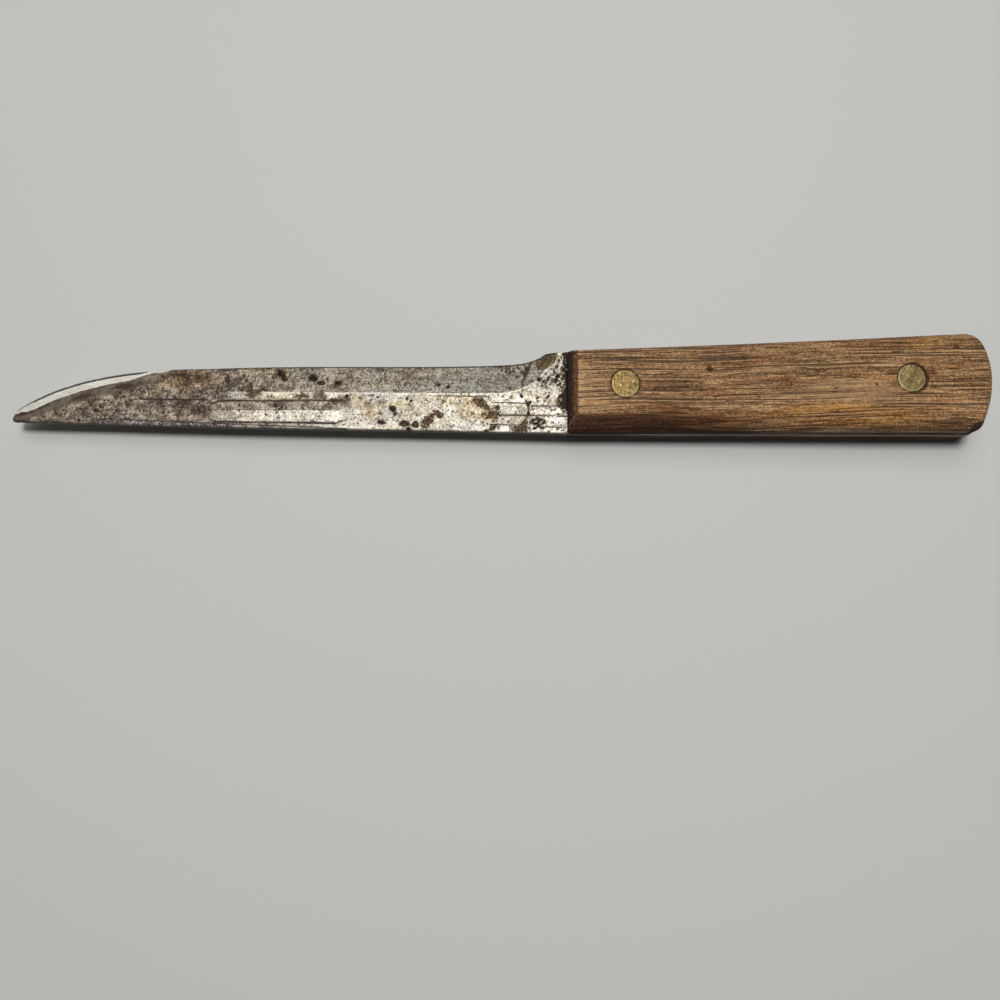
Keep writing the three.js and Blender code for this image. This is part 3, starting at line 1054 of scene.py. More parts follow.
@dataclass(frozen=True)
class Spot:
    """One spot of wear on the steel, in millimetres from the handle's front and up from the handle's back."""

    along: float
    up: float
    size: float
    stretch: float = 1.0
    turn: float = 0.0
    depth: float = 0.0

    def nearness(self, along: np.ndarray, up: np.ndarray) -> np.ndarray:
        """Measures how near points are to the spot.

        Args:
            along: Places along the blade.
            up: Places up the blade.

        Returns:
            1 in the middle, 0.5 on the rim and 0 from twice the size outwards.
        """
        cos, sin = math.cos(math.radians(self.turn)), math.sin(math.radians(self.turn))
        right, rise = self.along - along, up - self.up
        major = (right * cos + rise * sin) / (self.size * self.stretch)
        minor = (rise * cos - right * sin) / self.size
        return np.clip(1.0 - np.hypot(major, minor) / 2.0, 0.0, 1.0)


@dataclass(frozen=True)
class Score:
    """One line scored in the steel, between two places given as for a spot."""

    start: tuple[float, float]
    end: tuple[float, float]
    width: float = 0.28
    depth: float = 0.08
    strength: float = 1.0

    def nearness(self, along: np.ndarray, up: np.ndarray) -> np.ndarray:
        """Measures how near points are to the line.

        Args:
            along: Places along the blade.
            up: Places up the blade.

        Returns:
            Its strength on the line, falling to 0 beside it.
        """
        run, climb = self.end[0] - self.start[0], self.end[1] - self.start[1]
        part = ((along - self.start[0]) * run + (up - self.start[1]) * climb) / (run * run + climb * climb)
        part = np.clip(part, 0.0, 1.0)
        away = np.hypot(along - self.start[0] - part * run, up - self.start[1] - part * climb)
        return self.strength * np.exp(-((away / self.width) ** 2))


@dataclass(frozen=True)
class Cloud:
    """One broad cloud, placed as a spot is: its reach each way, what it adds and where its rim fades."""

    along: float
    up: float
    length: float
    height: float
    lift: float = 1.0
    outer: float = 1.5
    inner: float = 0.4

    def shade(self, along: np.ndarray, up: np.ndarray) -> np.ndarray:
        """Measures how much the cloud adds at points.

        Args:
            along: Places along the knife.
            up: Places up from its back.

        Returns:
            Its lift in the middle, falling to 0 outside it.
        """
        away = np.hypot((along - self.along) / self.length, (up - self.up) / self.height)
        return self.lift * smooth(self.outer, self.inner, away)


@dataclass(frozen=True)
class Strip:
    """One strip along the knife with soft sides and ends, each given as where its fade starts and stops."""

    foot: tuple[float, float]
    head: tuple[float, float]
    end: tuple[float, float]
    other_end: tuple[float, float] | None = None

    def shade(self, along: np.ndarray, up: np.ndarray) -> np.ndarray:
        """Measures how much of the strip covers points.

        Args:
            along: Places along the knife.
            up: Places up from its back.

        Returns:
            1 inside it, falling to 0 outside it.
        """
        cover = smooth(*self.foot, up) * smooth(*self.head, up) * smooth(*self.end, along)
        return cover if self.other_end is None else cover * smooth(*self.other_end, along)


def strongest(marks: tuple[Cloud | Strip, ...], along: np.ndarray, up: np.ndarray) -> np.ndarray:
    """Takes the strongest of several clouds or strips at each point.

    Args:
        marks: Clouds or strips.
        along: Places along the knife.
        up: Places up from its back.

    Returns:
        What the strongest adds.
    """
    return np.maximum.reduce([mark.shade(along, up) for mark in marks])


@dataclass(frozen=True)
class Wear:
    """All the wear on one side of the blade."""

    pits: tuple[Spot, ...]
    rust: tuple[Spot, ...]
    pepper: tuple[Spot, ...]
    stains: tuple[Spot, ...]
    patches: tuple[Spot, ...]
    scores: tuple[Score, ...]
    seed: int
    clouds: tuple[Cloud, ...] = ()
    bare: tuple[Spot, ...] = ()
    score_loose: float = 0.2

    def strongest(self, marks: tuple[Spot | Score, ...], along: np.ndarray, up: np.ndarray,
                  loose: float = 1.0) -> np.ndarray:
        """The nearest mark's nearness at each point.

        Args:
            marks: Spots or scores.
            along: Places along the blade.
            up: Places up the blade.
            loose: How far the outlines wander.

        Returns:
            Nearness from 0 to 1.
        """
        along, up = self.wander(along, up, loose)
        near = np.zeros_like(along)
        for mark in marks:
            near = np.maximum(near, mark.nearness(along, up))
        return near

    def wander(self, along: np.ndarray, up: np.ndarray, loose: float = 1.0) -> tuple[np.ndarray, np.ndarray]:
        """Shifts points a little to and fro, so that no spot is round and no line straight.

        Args:
            along: Places along the blade.
            up: Places up the blade.
            loose: How far they are shifted.

        Returns:
            The shifted places.
        """
        lumps = Lumps(self.seed + 5)
        aside = 0.8 * (lumps.at((along + 0.7 * up) / 1.5, (up - 0.7 * along) / 1.4) - 0.5)
        upward = 0.6 * (lumps.at((along - 0.5 * up) / 1.6 + 40.0, (up + 0.5 * along) / 1.3) - 0.5)
        sway = 0.16 * (lumps.at(along / 7.0, up * 0.0) - 0.5)
        return along + loose * aside, up + loose * upward + sway

    def depth(self, along: np.ndarray, up: np.ndarray) -> np.ndarray:
        """How deep the wear has eaten into the steel.

        Args:
            along: Places along the blade.
            up: Places up the blade.

        Returns:
            Depth in millimetres.
        """
        lumps = Lumps(self.seed)
        wobble = 0.3 * (lumps.at(along / 0.7, up / 0.7) - 0.5)
        eaten = np.zeros_like(along)
        there = self.wander(along, up)
        for spot in self.pits + self.rust:
            eaten = np.maximum(eaten, spot.depth * smooth(0.42, 0.72, spot.nearness(*there) + wobble))
        there = self.wander(along, up, self.score_loose)
        for score in self.scores:
            eaten = np.maximum(eaten, score.depth * score.nearness(*there))
        grainy = self.strongest(self.pepper, along, up)
        eaten += 0.1 * smooth(0.25, 0.6, grainy) * smooth(0.55, 0.8, lumps.at(along / 0.45, up / 0.45))
        eaten += 0.016 * lumps.at(along / 1.1, up / 0.8) + 0.02 * lumps.at(along / 4.0, up / 2.0)
        return eaten


def seen_wear() -> Wear:
    """The side that faces up: every spot and line where the photograph shows it.

    Returns:
        The wear.
    """
    pits = (
        Spot(130.5, 7.3, 0.42, depth=0.1), Spot(129.1, 5.9, 0.5, 1.3, 10.0, 0.1),
        Spot(127.9, 7.0, 0.38, depth=0.08), Spot(126.8, 8.5, 0.34, depth=0.08),
        Spot(123.4, 6.0, 0.36, depth=0.08), Spot(133.3, 2.9, 0.4, depth=0.08),
        Spot(17.9, 18.1, 0.26, 1.5, 80.0, 0.06), Spot(16.7, 17.9, 0.36, 1.4, 80.0, 0.08),
        Spot(15.7, 17.4, 0.32, 1.5, 70.0, 0.08), Spot(14.7, 17.8, 0.36, 1.3, 95.0, 0.08),
        Spot(13.7, 16.2, 0.28, 2.2, 85.0, 0.06), Spot(12.5, 17.9, 0.3, 1.5, 70.0, 0.06),
        Spot(93.5, 14.7, 0.8, depth=0.12), Spot(79.0, 16.6, 0.95, 1.2, -30.0, 0.14),
        Spot(77.9, 15.4, 0.7, 1.3, -40.0, 0.12), Spot(70.0, 15.3, 1.0, 1.25, -20.0, 0.16),
        Spot(67.6, 14.1, 0.65, 1.2, 0.0, 0.12), Spot(63.1, 14.0, 0.85, 1.1, 0.0, 0.18),
        Spot(81.3, 15.5, 0.35, depth=0.08), Spot(80.3, 15.4, 0.3, depth=0.07),
        Spot(79.6, 7.2, 0.35, depth=0.08), Spot(60.6, 10.2, 0.5, depth=0.1),
        Spot(43.9, 9.6, 0.4, depth=0.1), Spot(42.9, 8.9, 0.4, depth=0.1),
        Spot(52.0, 10.0, 0.28, depth=0.06), Spot(48.0, 6.6, 0.8, 1.1, 0.0, 0.18),
        Spot(47.2, 5.3, 0.42, 1.6, 70.0, 0.1), Spot(50.8, 2.9, 0.6, 1.4, 0.0, 0.12),
        Spot(44.4, 2.4, 0.85, 1.3, 0.0, 0.18), Spot(41.6, 2.5, 0.75, 1.2, 20.0, 0.16),
        Spot(43.1, 1.1, 0.5, 1.5, 30.0, 0.12), Spot(35.4, 13.8, 0.5, 1.3, -25.0, 0.1),
        Spot(32.9, 12.9, 0.45, 1.4, -20.0, 0.1), Spot(33.9, 8.2, 0.35, 0.8, 0.0, 0.08),
        Spot(12.7, 10.7, 0.55, depth=0.12), Spot(8.3, 10.1, 0.44, 1.2, 30.0, 0.1),
        Spot(5.3, 10.4, 0.4, 1.2, 80.0, 0.08), Spot(15.8, 12.8, 0.3, depth=0.06),
        Spot(9.6, 14.8, 0.4, 1.3, 20.0, 0.1), Spot(7.4, 15.4, 0.6, 1.4, 30.0, 0.12),
        Spot(5.2, 15.4, 0.5, 1.3, -20.0, 0.12), Spot(4.2, 14.3, 0.45, 1.2, 0.0, 0.1),
        Spot(2.8, 19.1, 0.45, 1.1, 60.0, 0.1), Spot(2.5, 13.8, 0.5, 1.2, 40.0, 0.1),
        Spot(6.6, 13.5, 0.35, 1.0, 0.0, 0.08), Spot(3.6, 17.0, 0.4, 1.4, 60.0, 0.1),
        Spot(10.4, 8.2, 0.55, 1.5, 75.0, 0.12), Spot(10.7, 5.9, 0.4, 1.8, 80.0, 0.1),
        Spot(80.0, 7.4, 0.4, 1.5, 80.0, 0.08), Spot(89.7, 7.6, 0.3, 1.6, 90.0, 0.06),
        Spot(89.6, 5.8, 0.24, 1.6, 80.0, 0.05), Spot(78.2, 7.0, 0.3, 2.2, 86.0, 0.06),
        Spot(79.0, 6.2, 0.28, 1.8, 95.0, 0.05), Spot(69.4, 6.6, 0.28, 2.0, 90.0, 0.05),
        Spot(9.4, 3.8, 0.46, 1.4, 30.0, 0.1), Spot(8.1, 4.4, 0.46, 1.6, 0.0, 0.1),
        Spot(6.5, 3.3, 0.5, 1.4, 60.0, 0.1), Spot(8.9, 2.8, 0.42, 1.6, 0.0, 0.1),
        Spot(7.6, 2.3, 0.5, 1.5, -30.0, 0.1), Spot(6.8, 1.7, 0.42, 1.4, 0.0, 0.1),
        Spot(8.1, 3.3, 0.4, 1.7, 45.0, 0.1), Spot(9.9, 3.1, 0.36, 1.4, 90.0, 0.1),
        Spot(8.6, 1.5, 0.42, 1.5, 10.0, 0.1), Spot(7.2, 3.9, 0.36, 1.6, 30.0, 0.1),
        Spot(20.6, 1.5, 0.5, 1.5, 20.0, 0.1), Spot(21.9, 1.0, 0.36, 1.6, 0.0, 0.1),
        Spot(19.7, 2.3, 0.3, 1.4, 40.0, 0.08), Spot(1.9, 20.6, 0.4, 1.2, 0.0, 0.1),
        Spot(3.4, 18.2, 0.36, 1.3, 30.0, 0.1), Spot(1.4, 17.6, 0.4, 1.0, 0.0, 0.1),
        Spot(2.6, 16.2, 0.5, 1.2, 20.0, 0.12), Spot(1.2, 15.6, 0.42, 1.4, 60.0, 0.1),
        Spot(4.4, 16.3, 0.34, 1.5, 40.0, 0.1), Spot(3.1, 15.0, 0.46, 1.1, 0.0, 0.12),
        Spot(6.0, 14.6, 0.36, 1.4, 10.0, 0.1), Spot(8.2, 13.9, 0.3, 1.2, 0.0, 0.08),
        Spot(1.7, 12.9, 0.34, 1.0, 0.0, 0.08), Spot(5.6, 17.0, 0.24, 1.0, 0.0, 0.06),
        Spot(2.0, 14.4, 0.3, 1.3, 20.0, 0.08),
    )
    rust = (
        Spot(72.7, 10.1, 0.9, 2.0, 8.0, 0.05), Spot(63.6, 8.9, 0.8, 1.3, -20.0, 0.05),
        Spot(38.1, 3.2, 1.0, 1.9, 52.0, 0.12), Spot(35.3, 5.3, 0.8, 1.7, -28.0, 0.1),
        Spot(37.2, 4.9, 0.5, 1.4, -10.0, 0.06), Spot(23.8, 8.5, 1.2, 1.4, -15.0, 0.12),
        Spot(22.3, 7.4, 0.9, 1.5, -35.0, 0.12), Spot(25.2, 9.3, 0.6, 1.3, 0.0, 0.06),
        Spot(19.2, 7.3, 0.45, 1.7, 0.0, 0.1), Spot(20.8, 5.2, 1.1, 1.9, -6.0, 0.08),
        Spot(12.8, 1.3, 1.05, 1.9, 10.0, 0.1), Spot(11.4, 2.9, 0.6, 1.5, 60.0, 0.08),
    )
    patches = (
        Spot(86.2, 10.5, 1.2, 1.9, 10.0), Spot(11.2, 18.0, 1.0, 1.8, 66.0), Spot(150.8, 4.6, 0.8),
        Spot(68.0, 10.2, 1.4, 1.6), Spot(61.0, 8.6, 1.5, 1.4, -30.0), Spot(122.0, 12.4, 0.8, 4.5, 8.0),
        Spot(133.3, 9.3, 0.8, 4.5, 16.0), Spot(144.0, 6.6, 0.6, 4.0, 18.0),
        Spot(148.6, 5.2, 0.9, 2.4, 12.0), Spot(99.0, 6.0, 1.2, 2.0), Spot(16.2, 19.2, 0.5, 5.0),
        Spot(107.0, 16.4, 0.8, 3.0, 10.0), Spot(2.4, 9.0, 0.6, 1.8, 80.0),
    )
    pepper = (
        Spot(8.2, 3.0, 1.0, 1.3), Spot(4.6, 15.2, 1.6, 2.0, 40.0), Spot(2.0, 19.0, 1.5, 1.8, 75.0),
        Spot(60.5, 9.6, 1.2, 2.0, -20.0), Spot(70.5, 14.6, 1.4, 2.4, -20.0), Spot(20.8, 1.6, 0.9, 1.8),
        Spot(88.6, 12.9, 1.0, 3.0), Spot(112.0, 9.0, 5.0, 3.0), Spot(97.0, 7.4, 1.6, 1.4),
    )
    stains = (
        Spot(56.0, 8.0, 2.4, 2.2, -25.0), Spot(26.5, 8.8, 2.2, 1.6), Spot(33.0, 9.3, 1.6, 1.6),
        Spot(46.5, 7.8, 1.6, 1.6), Spot(104.0, 14.5, 3.0, 3.0), Spot(22.0, 5.5, 2.6, 1.8),
    )
    ticks = tuple(
        Score((along, top), (along - lean, top - drop), 0.3, 0.03, 0.85)
        for along, top, drop, lean in (
            (18.2, 19.2, 0.8, 0.3), (16.6, 19.2, 1.5, 0.2), (15.9, 19.3, 2.4, 0.5), (13.7, 19.5, 1.1, 0.4),
        )
    )
    scores = (
        Score((117.0, 8.9), (98.7, 8.8)), Score((98.7, 8.8), (97.0, 7.8), 0.35),
        Score((97.0, 7.8), (95.2, 8.6), 0.35), Score((95.2, 8.6), (61.4, 8.9), 0.3, 0.1),
        Score((95.0, 6.2), (64.9, 6.2), 0.2, 0.05, 0.6), Score((96.5, 2.7), (63.5, 2.5), 0.3, 0.1),
        Score((63.5, 2.5), (61.4, 3.2), 0.26, 0.08), Score((33.5, 10.4), (21.1, 10.3), 0.18, 0.06),
        Score((20.8, 8.8), (9.6, 8.4), 0.22, 0.07), Score((9.6, 7.8), (0.0, 7.6), 0.32, 0.06, 0.8),
        Score((18.6, 5.2), (0.0, 5.0), 0.26, 0.09), Score((21.0, 2.6), (13.8, 2.4), 0.2, 0.06),
        Score((6.6, 1.9), (0.0, 1.8), 0.22, 0.08), Score((130.0, 3.4), (60.0, 1.0), 0.24, 0.05, 0.7),
        Score((9.9, 20.2), (12.3, 14.4), 0.85, 0.05, 0.6),
        Score((12.3, 14.4), (12.2, 11.8), 0.6, 0.05, 0.62), Score((11.2, 9.4), (10.4, 7.2), 0.36, 0.08),
        Score((83.0, 11.9), (82.7, 5.8), 0.24, 0.04, 0.5),
        Score((73.8, 8.3), (73.2, 5.0), 0.26, 0.04, 0.55), Score((78.4, 8.0), (78.2, 5.8), 0.24, 0.04, 0.5),
        Score((69.4, 7.9), (69.1, 5.2), 0.24, 0.04, 0.5), Score((95.8, 13.0), (96.6, 9.4), 0.24, 0.04),
        Score((10.4, 7.2), (11.0, 4.4), 0.3, 0.08), Score((11.0, 4.4), (12.6, 2.4), 0.34, 0.08),
    )
    clouds = (
        Cloud(95.0, 14.8, 6.0, 2.4, -0.1), Cloud(79.0, 14.6, 5.0, 2.2, 0.05),
        Cloud(53.0, 15.0, 7.0, 2.4, 0.035), Cloud(22.0, 15.0, 5.0, 2.4, -0.05),
        Cloud(105.0, 7.0, 6.0, 3.4, -0.045), Cloud(88.0, 7.0, 4.0, 3.0, -0.04),
        Cloud(6.0, 7.0, 4.0, 4.0, -0.05), Cloud(57.0, 2.0, 10.0, 1.2, 0.08),
        Cloud(22.0, 2.0, 4.5, 1.4, 0.09), Cloud(88.0, 2.0, 5.0, 1.2, 0.07),
        Cloud(110.0, 15.0, 6.0, 1.6, -0.04),
    )
    bare = (Spot(146.2, 3.3, 0.6, 1.7, 10.0), Spot(133.0, 2.2, 0.3, 2.0), Spot(118.0, 2.4, 0.3, 2.4))
    return Wear(pits, rust, pepper, stains, patches, scores + ticks, seed=11, clouds=clouds, bare=bare)


def unseen_wear() -> Wear:
    """The side that faces down: wear of the same kinds in a layout of its own.

    Returns:
        The wear.
    """
    draw = np.random.default_rng(LAYOUT_SEED)

    def spots(count: int, low: float, high: float, deep: float, reach: float = 130.0) -> tuple[Spot, ...]:
        """Scatters spots.

        Args:
            count: How many.
            low: Smallest size.
            high: Largest size.
            deep: Depth of the largest.
            reach: How far they go from the handle.

        Returns:
            The spots.
        """
        made = []
        for _ in range(count):
            size = low + (high - low) * draw.random() ** 2
            made.append(Spot(3.0 + (reach - 3.0) * draw.random(), 1.0 + 16.5 * draw.random(), size,
                             1.0 + draw.random(), 180.0 * draw.random(), deep * size / high))
        return tuple(made)

    scores = (
        Score((88.0, 9.2), (41.0, 9.4), 0.28, 0.09), Score((74.0, 5.6), (12.0, 5.2), 0.24, 0.07),
        Score((31.0, 2.6), (0.0, 2.2), 0.24, 0.08), Score((118.0, 6.4), (83.0, 6.9), 0.2, 0.05),
        Score((22.0, 8.1), (0.0, 7.8), 0.22, 0.07), Score((128.0, 3.2), (70.0, 1.2), 0.22, 0.05),
    )
    return Wear(spots(26, 0.3, 0.95, 0.16), spots(11, 0.6, 1.5, 0.1, 80.0), spots(9, 1.2, 2.8, 0.0),
                spots(6, 1.6, 3.0, 0.0), spots(8, 0.8, 1.8, 0.0), scores, seed=37)


class Side(Enum):
    """The side that faces up and the one that the knife lies on, by the sign of Z."""

    UPPER = 1
    LOWER = -1


class Line(IntEnum):
    """The four lines that run along the blade, from its back to its edge."""

    BACK = 0
    BEVEL = 1
    FACET = 2
    EDGE = 3


@dataclass
class Blade:
    """The steel: the blade, worn on both sides, and the tang between the scales."""

    nose_columns: int = 12
    columns: int = 468
    flat_rows: int = 46
    bevel_rows: int = 30
    facet_rows: int = 12
    rim_cuts: int = 4
    nose_length: float = 1.6
    nose_fill: float = 0.26
    nose_thin: float = 0.45
    spine_round: float = 0.35
    line_reach: float = 1.2
    facet_run: float = 112.0
    sliver: float = 0.25
    edge_shade_width: float = 0.5
    rim_drop: float = 0.3
    edge_shade_run: float = 113.0
    tuck: float = 0.6
    tang_gap: float = 0.02
    blade_angle: float = 42.0
    tang_angle: float = 30.0
    flat_angle: float = 0.5
    front_reach: float = 0.01
    station_gap: float = 0.008
    row_crowd: float = 1.3
    ramp: float = 6.0
    slope_step: float = 0.1
    point_fade: tuple[float, float] = (145.0, 149.0)
    point_end: tuple[float, float] = (151.8, 151.2)
    calm_gap: tuple[float, float] = (3.8, 2.6)
    calm_run: tuple[float, float] = (110.0, 118.0)
    violet_run: tuple[float, float] = (70.0, 92.0)
    violet_end: tuple[float, float] = (138.0, 124.0)
    heel_fade: float = 1.6
    heel_start: tuple[float, float] = (2.3, 2.6)
    heel_end: tuple[float, float] = (8.8, 8.4)
    point_run: tuple[float, ...] = (144.6, 146.0, 149.5, 150.8)
    point_line: tuple[float, ...] = (6.65, 6.05, 5.4, 4.6)
    heel_run: tuple[float, ...] = (2.4, 3.1, 5.2, 7.8, 8.6)
    heel_line: tuple[float, ...] = (22.6, 20.5, 18.5, 18.0, 19.6)
    bright: tuple[Strip, ...] = (
        Strip((2.2, 2.5), (5.0, 4.7), (7.4, 5.6)), Strip((5.3, 5.6), (7.5, 7.2), (10.0, 8.4)),
        Strip((0.3, 0.5), (1.9, 1.6), (22.0, 16.0)), Strip((2.8, 3.1), (6.1, 5.8), (60.5, 63.0)),
        Strip((7.9, 8.2), (11.0, 10.4), (23.0, 18.0), (4.0, 8.0)),
        Strip((9.2, 9.5), (11.0, 10.8), (62.0, 66.0)),
    )
    browned: Strip = Strip((6.0, 6.4), (8.9, 8.6), (97.0, 94.0), (60.5, 62.5))
    # dirt at the handle's front; the corner right next to the handle also gets painted shade
    grime_and_shade_strip: Strip = Strip((3.6, 8.0), (15.0, 11.0), (4.0, 0.2))
    finish: WornSteel = field(default_factory=WornSteel)

    def __post_init__(self) -> None:
        """Takes the datum planes from the frame."""
        scale_low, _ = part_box("upper_scale")
        steel_low, steel_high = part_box("blade")
        self.front = scale_low.x / MM
        self.back = scale_low.y / MM
        self.tip = steel_low.x / MM
        self.middle = (steel_low.z + steel_high.z) / 2 / MM
        self.tang_finish = HiddenSteel(self.middle, (steel_high.z - steel_low.z) / 2 / MM, self.front)
        self.stations, self.lines = self.read_lines()
        self.sides = {Side.UPPER: seen_wear(), Side.LOWER: unseen_wear()}

    def read_lines(self) -> tuple[np.ndarray, np.ndarray]:
        """Reads where the blade's back, bevel, facet and edge run, from the CAD blade's corners.

        Returns:
            The stations along X, and the y and z of the four lines at each, in millimetres.
        """
        places = corners(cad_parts["blade"])
        upper = places[(places[:, 2] > self.middle) & (places[:, 0] < self.front + self.front_reach)]
        upper = upper[np.argsort(upper[:, 0])]
        groups = np.split(upper, np.flatnonzero(np.diff(upper[:, 0]) > self.station_gap) + 1)
        stations, lines = [], []
        for group in groups:
            ring = np.unique(np.round(group[:, 1:], 3), axis=0)
            stations.append(group[0, 0])
            lines.append(np.vstack([ring[:1], ring[-3:]]))
        return np.array(stations), np.array(lines)

    def line(self, which: Line, x: np.ndarray, axis: int = 0) -> np.ndarray:
        """Follows one of the four lines.

        Args:
            which: The line.
            x: Where along the knife.
            axis: 0 for its y and 1 for its z.

        Returns:
            The line's y or z.
        """
        return np.interp(x, self.stations, self.lines[:, which, axis])

    def sheet(self, facing: Side) -> Piece:
        """Models one side as a fine sheet with its wear pressed in.

        Args:
            facing: Which side.

        Returns:
            The sheet.
        """
        across = self.nose_columns + self.columns
        rows = self.flat_rows + self.bevel_rows + self.facet_rows
        bpy.ops.object.select_all(action="DESELECT")
        bpy.ops.mesh.primitive_grid_add(x_subdivisions=across, y_subdivisions=rows, size=1.0)
        sheet = bpy.context.active_object
        places = corners(sheet) * MM
        column = np.rint((places[:, 0] + 0.5) * across).astype(int)
        row = np.rint((places[:, 1] + 0.5) * rows).astype(int)
        nose = self.tip + self.nose_length * np.linspace(0.0, 1.0, self.nose_columns + 1)[:-1] ** 2
        root = self.front + self.tuck
        x = np.concatenate([nose, np.linspace(self.tip + self.nose_length, root, self.columns + 1)])[column]
        y, z = np.empty_like(x), np.empty_like(x)
        first = 0
        counts = (self.flat_rows, self.bevel_rows, self.facet_rows)
        for start, end, count in zip(Line, tuple(Line)[1:], counts):
            here = (row >= first) & (row <= first + count)
            part = (row[here] - first) / count
            part = part**self.row_crowd if start is Line.BACK else part
            for axis, result in enumerate((y, z)):
                low, high = self.line(start, x[here], axis), self.line(end, x[here], axis)
                result[here] = low + (high - low) * part
            first += count
        from_tip = x - self.tip
        filled = smooth(30.0, 4.0, from_tip) + 0.5 * smooth(2.6, 0.4, from_tip)
        y -= self.nose_fill * filled * (1.0 - row / rows)
        along, up = self.front - x, y - self.back
        inside = np.maximum(y - self.line(Line.BACK, x), 0.0)
        width = self.line(Line.EDGE, x) - self.line(Line.BACK, x)
        round_off = np.minimum(self.spine_round, 0.25 * width)
        drop = round_off - np.sqrt(np.maximum(round_off**2 - np.maximum(round_off - inside, 0.0) ** 2, 0.0))
        thick = (z - self.middle) * (self.nose_thin + (1.0 - self.nose_thin) * smooth(0.0, 5.0, from_tip))
        calm = smooth(0.1, 0.6, thick) * smooth(0.0, 0.5, self.line(Line.EDGE, x) - y)
        calm = np.maximum(calm, smooth(4.0, 1.0, along) * smooth(0.3, 0.8, thick))
        thick -= np.minimum(drop + calm * self.sides[facing].depth(along, up), 0.8 * thick)
        nick = Lumps(self.sides[facing].seed + 1).at(along / 0.9, along * 0.0)
        y -= 0.1 * smooth(0.7, 1.0, nick) * (row == rows) * smooth(6.0, 9.0, along)
        move_corners(sheet, np.column_stack([x, y, self.middle + facing.value * thick]))
        if facing is Side.LOWER:
            edit_all(sheet)
            bpy.ops.mesh.flip_normals()
            leave_edit()
        return sheet

    def build(self) -> Piece:
        """Models the blade from its two sides and bridges them along the back, the edge and both ends.

        Returns:
            The blade.
        """
        blade = join([self.sheet(side) for side in Side], "blade_steel")
        edit_all(blade)
        bpy.ops.mesh.select_mode(type="EDGE")
        bpy.ops.mesh.select_all(action="DESELECT")
        bpy.ops.mesh.select_non_manifold(use_wire=False, use_multi_face=False, use_non_contiguous=False,
                                         use_verts=False)
        bpy.ops.mesh.bridge_edge_loops(number_cuts=self.rim_cuts, interpolation="LINEAR")
        bpy.ops.mesh.select_all(action="SELECT")
        bpy.ops.mesh.normals_make_consistent(inside=False)
        leave_edit()
        soften(blade, self.blade_angle)
        return blade

    def tarnish(self, along: np.ndarray, up: np.ndarray, bevel: np.ndarray, seed: int) -> np.ndarray:
        """How brown the patina is: most towards the point, on the bevel and along the back.

        Args:
            along: Places along the blade.
            up: Places up the blade.
            bevel: 1 on the wide bevel and 0 on the flat.
            seed: Start of the random draw.

        Returns:
            Patina from 0 to 1.
        """
        wander = 14.0 * (Lumps(seed + 2).at(along / 9.0, up / 4.0) - 0.5)
        flat = smooth(85.0, 103.0, along + wander)
        flat = np.maximum(flat, 0.5 * smooth(3.1, 2.2, up) * smooth(66.0, 80.0, along))
        flat = np.maximum(flat, 0.6 * self.browned.shade(along, up))
        ground = 0.22 * smooth(22.0, 48.0, along + wander) + 0.12 * smooth(68.0, 90.0, along + wander)
        ground += 0.66 * smooth(86.0, 101.0, along + 0.6 * wander)
        return flat + (ground - flat) * smooth(0.4, 0.6, bevel)

    def side_marks(self, along: np.ndarray, up: np.ndarray, bevel: np.ndarray,
                   upper: np.ndarray) -> dict[str, np.ndarray]:
        """Collects what the spots, lines and clouds of each side leave on the steel.

        Args:
            along: Places along the blade.
            up: Places up the blade.
            bevel: 1 on the wide bevel and 0 on the flat.
            upper: Whether a place is on the side that faces up.

        Returns:
            The marks by name.
        """
        names = ("pit", "rust", "pepper", "stain", "score", "tarnish", "dark", "lift")
        marks = {name: np.zeros(len(along)) for name in names}
        for facing, wear in self.sides.items():
            here = upper if facing is Side.UPPER else ~upper
            a, u = along[here], up[here]
            for name, group in (("pit", wear.pits), ("rust", wear.rust), ("pepper", wear.pepper),
                                ("stain", wear.stains), ("dark", wear.patches)):
                marks[name][here] = wear.strongest(group, a, u)
            marks["score"][here] = wear.strongest(wear.scores, a, u, wear.score_loose)
            aged = self.tarnish(a, u, bevel[here], wear.seed)
            aged = np.maximum(aged, 0.6 * smooth(0.2, 0.7, marks["dark"][here]))
            marks["tarnish"][here] = aged * (1.0 - 0.8 * smooth(0.3, 0.8, wear.strongest(wear.bare, a, u)))
            for cloud in wear.clouds:
                marks["lift"][here] += cloud.shade(a, u)
        return marks

    def edge_marks(self, x: np.ndarray, y: np.ndarray) -> dict[str, np.ndarray]:
        """Collects the marks that follow the cutting edge: fresh facet, a dark line of painted shade along
        the edge and calm patina.

        Args:
            x: Places along X.
            y: Places along Y.

        Returns:
            The marks by name.
        """
        along = self.front - x
        wide = smooth(self.facet_run - self.ramp, self.facet_run, along)
        start = self.line(Line.FACET, x) - self.sliver * wide
        wedge = self.back + np.interp(along, self.point_run, self.point_line)
        start = np.where(along > self.point_run[0], np.minimum(start, wedge), start)
        facet = np.clip(0.5 + (y - start) / (2.0 * self.line_reach), 0.0, 1.0)
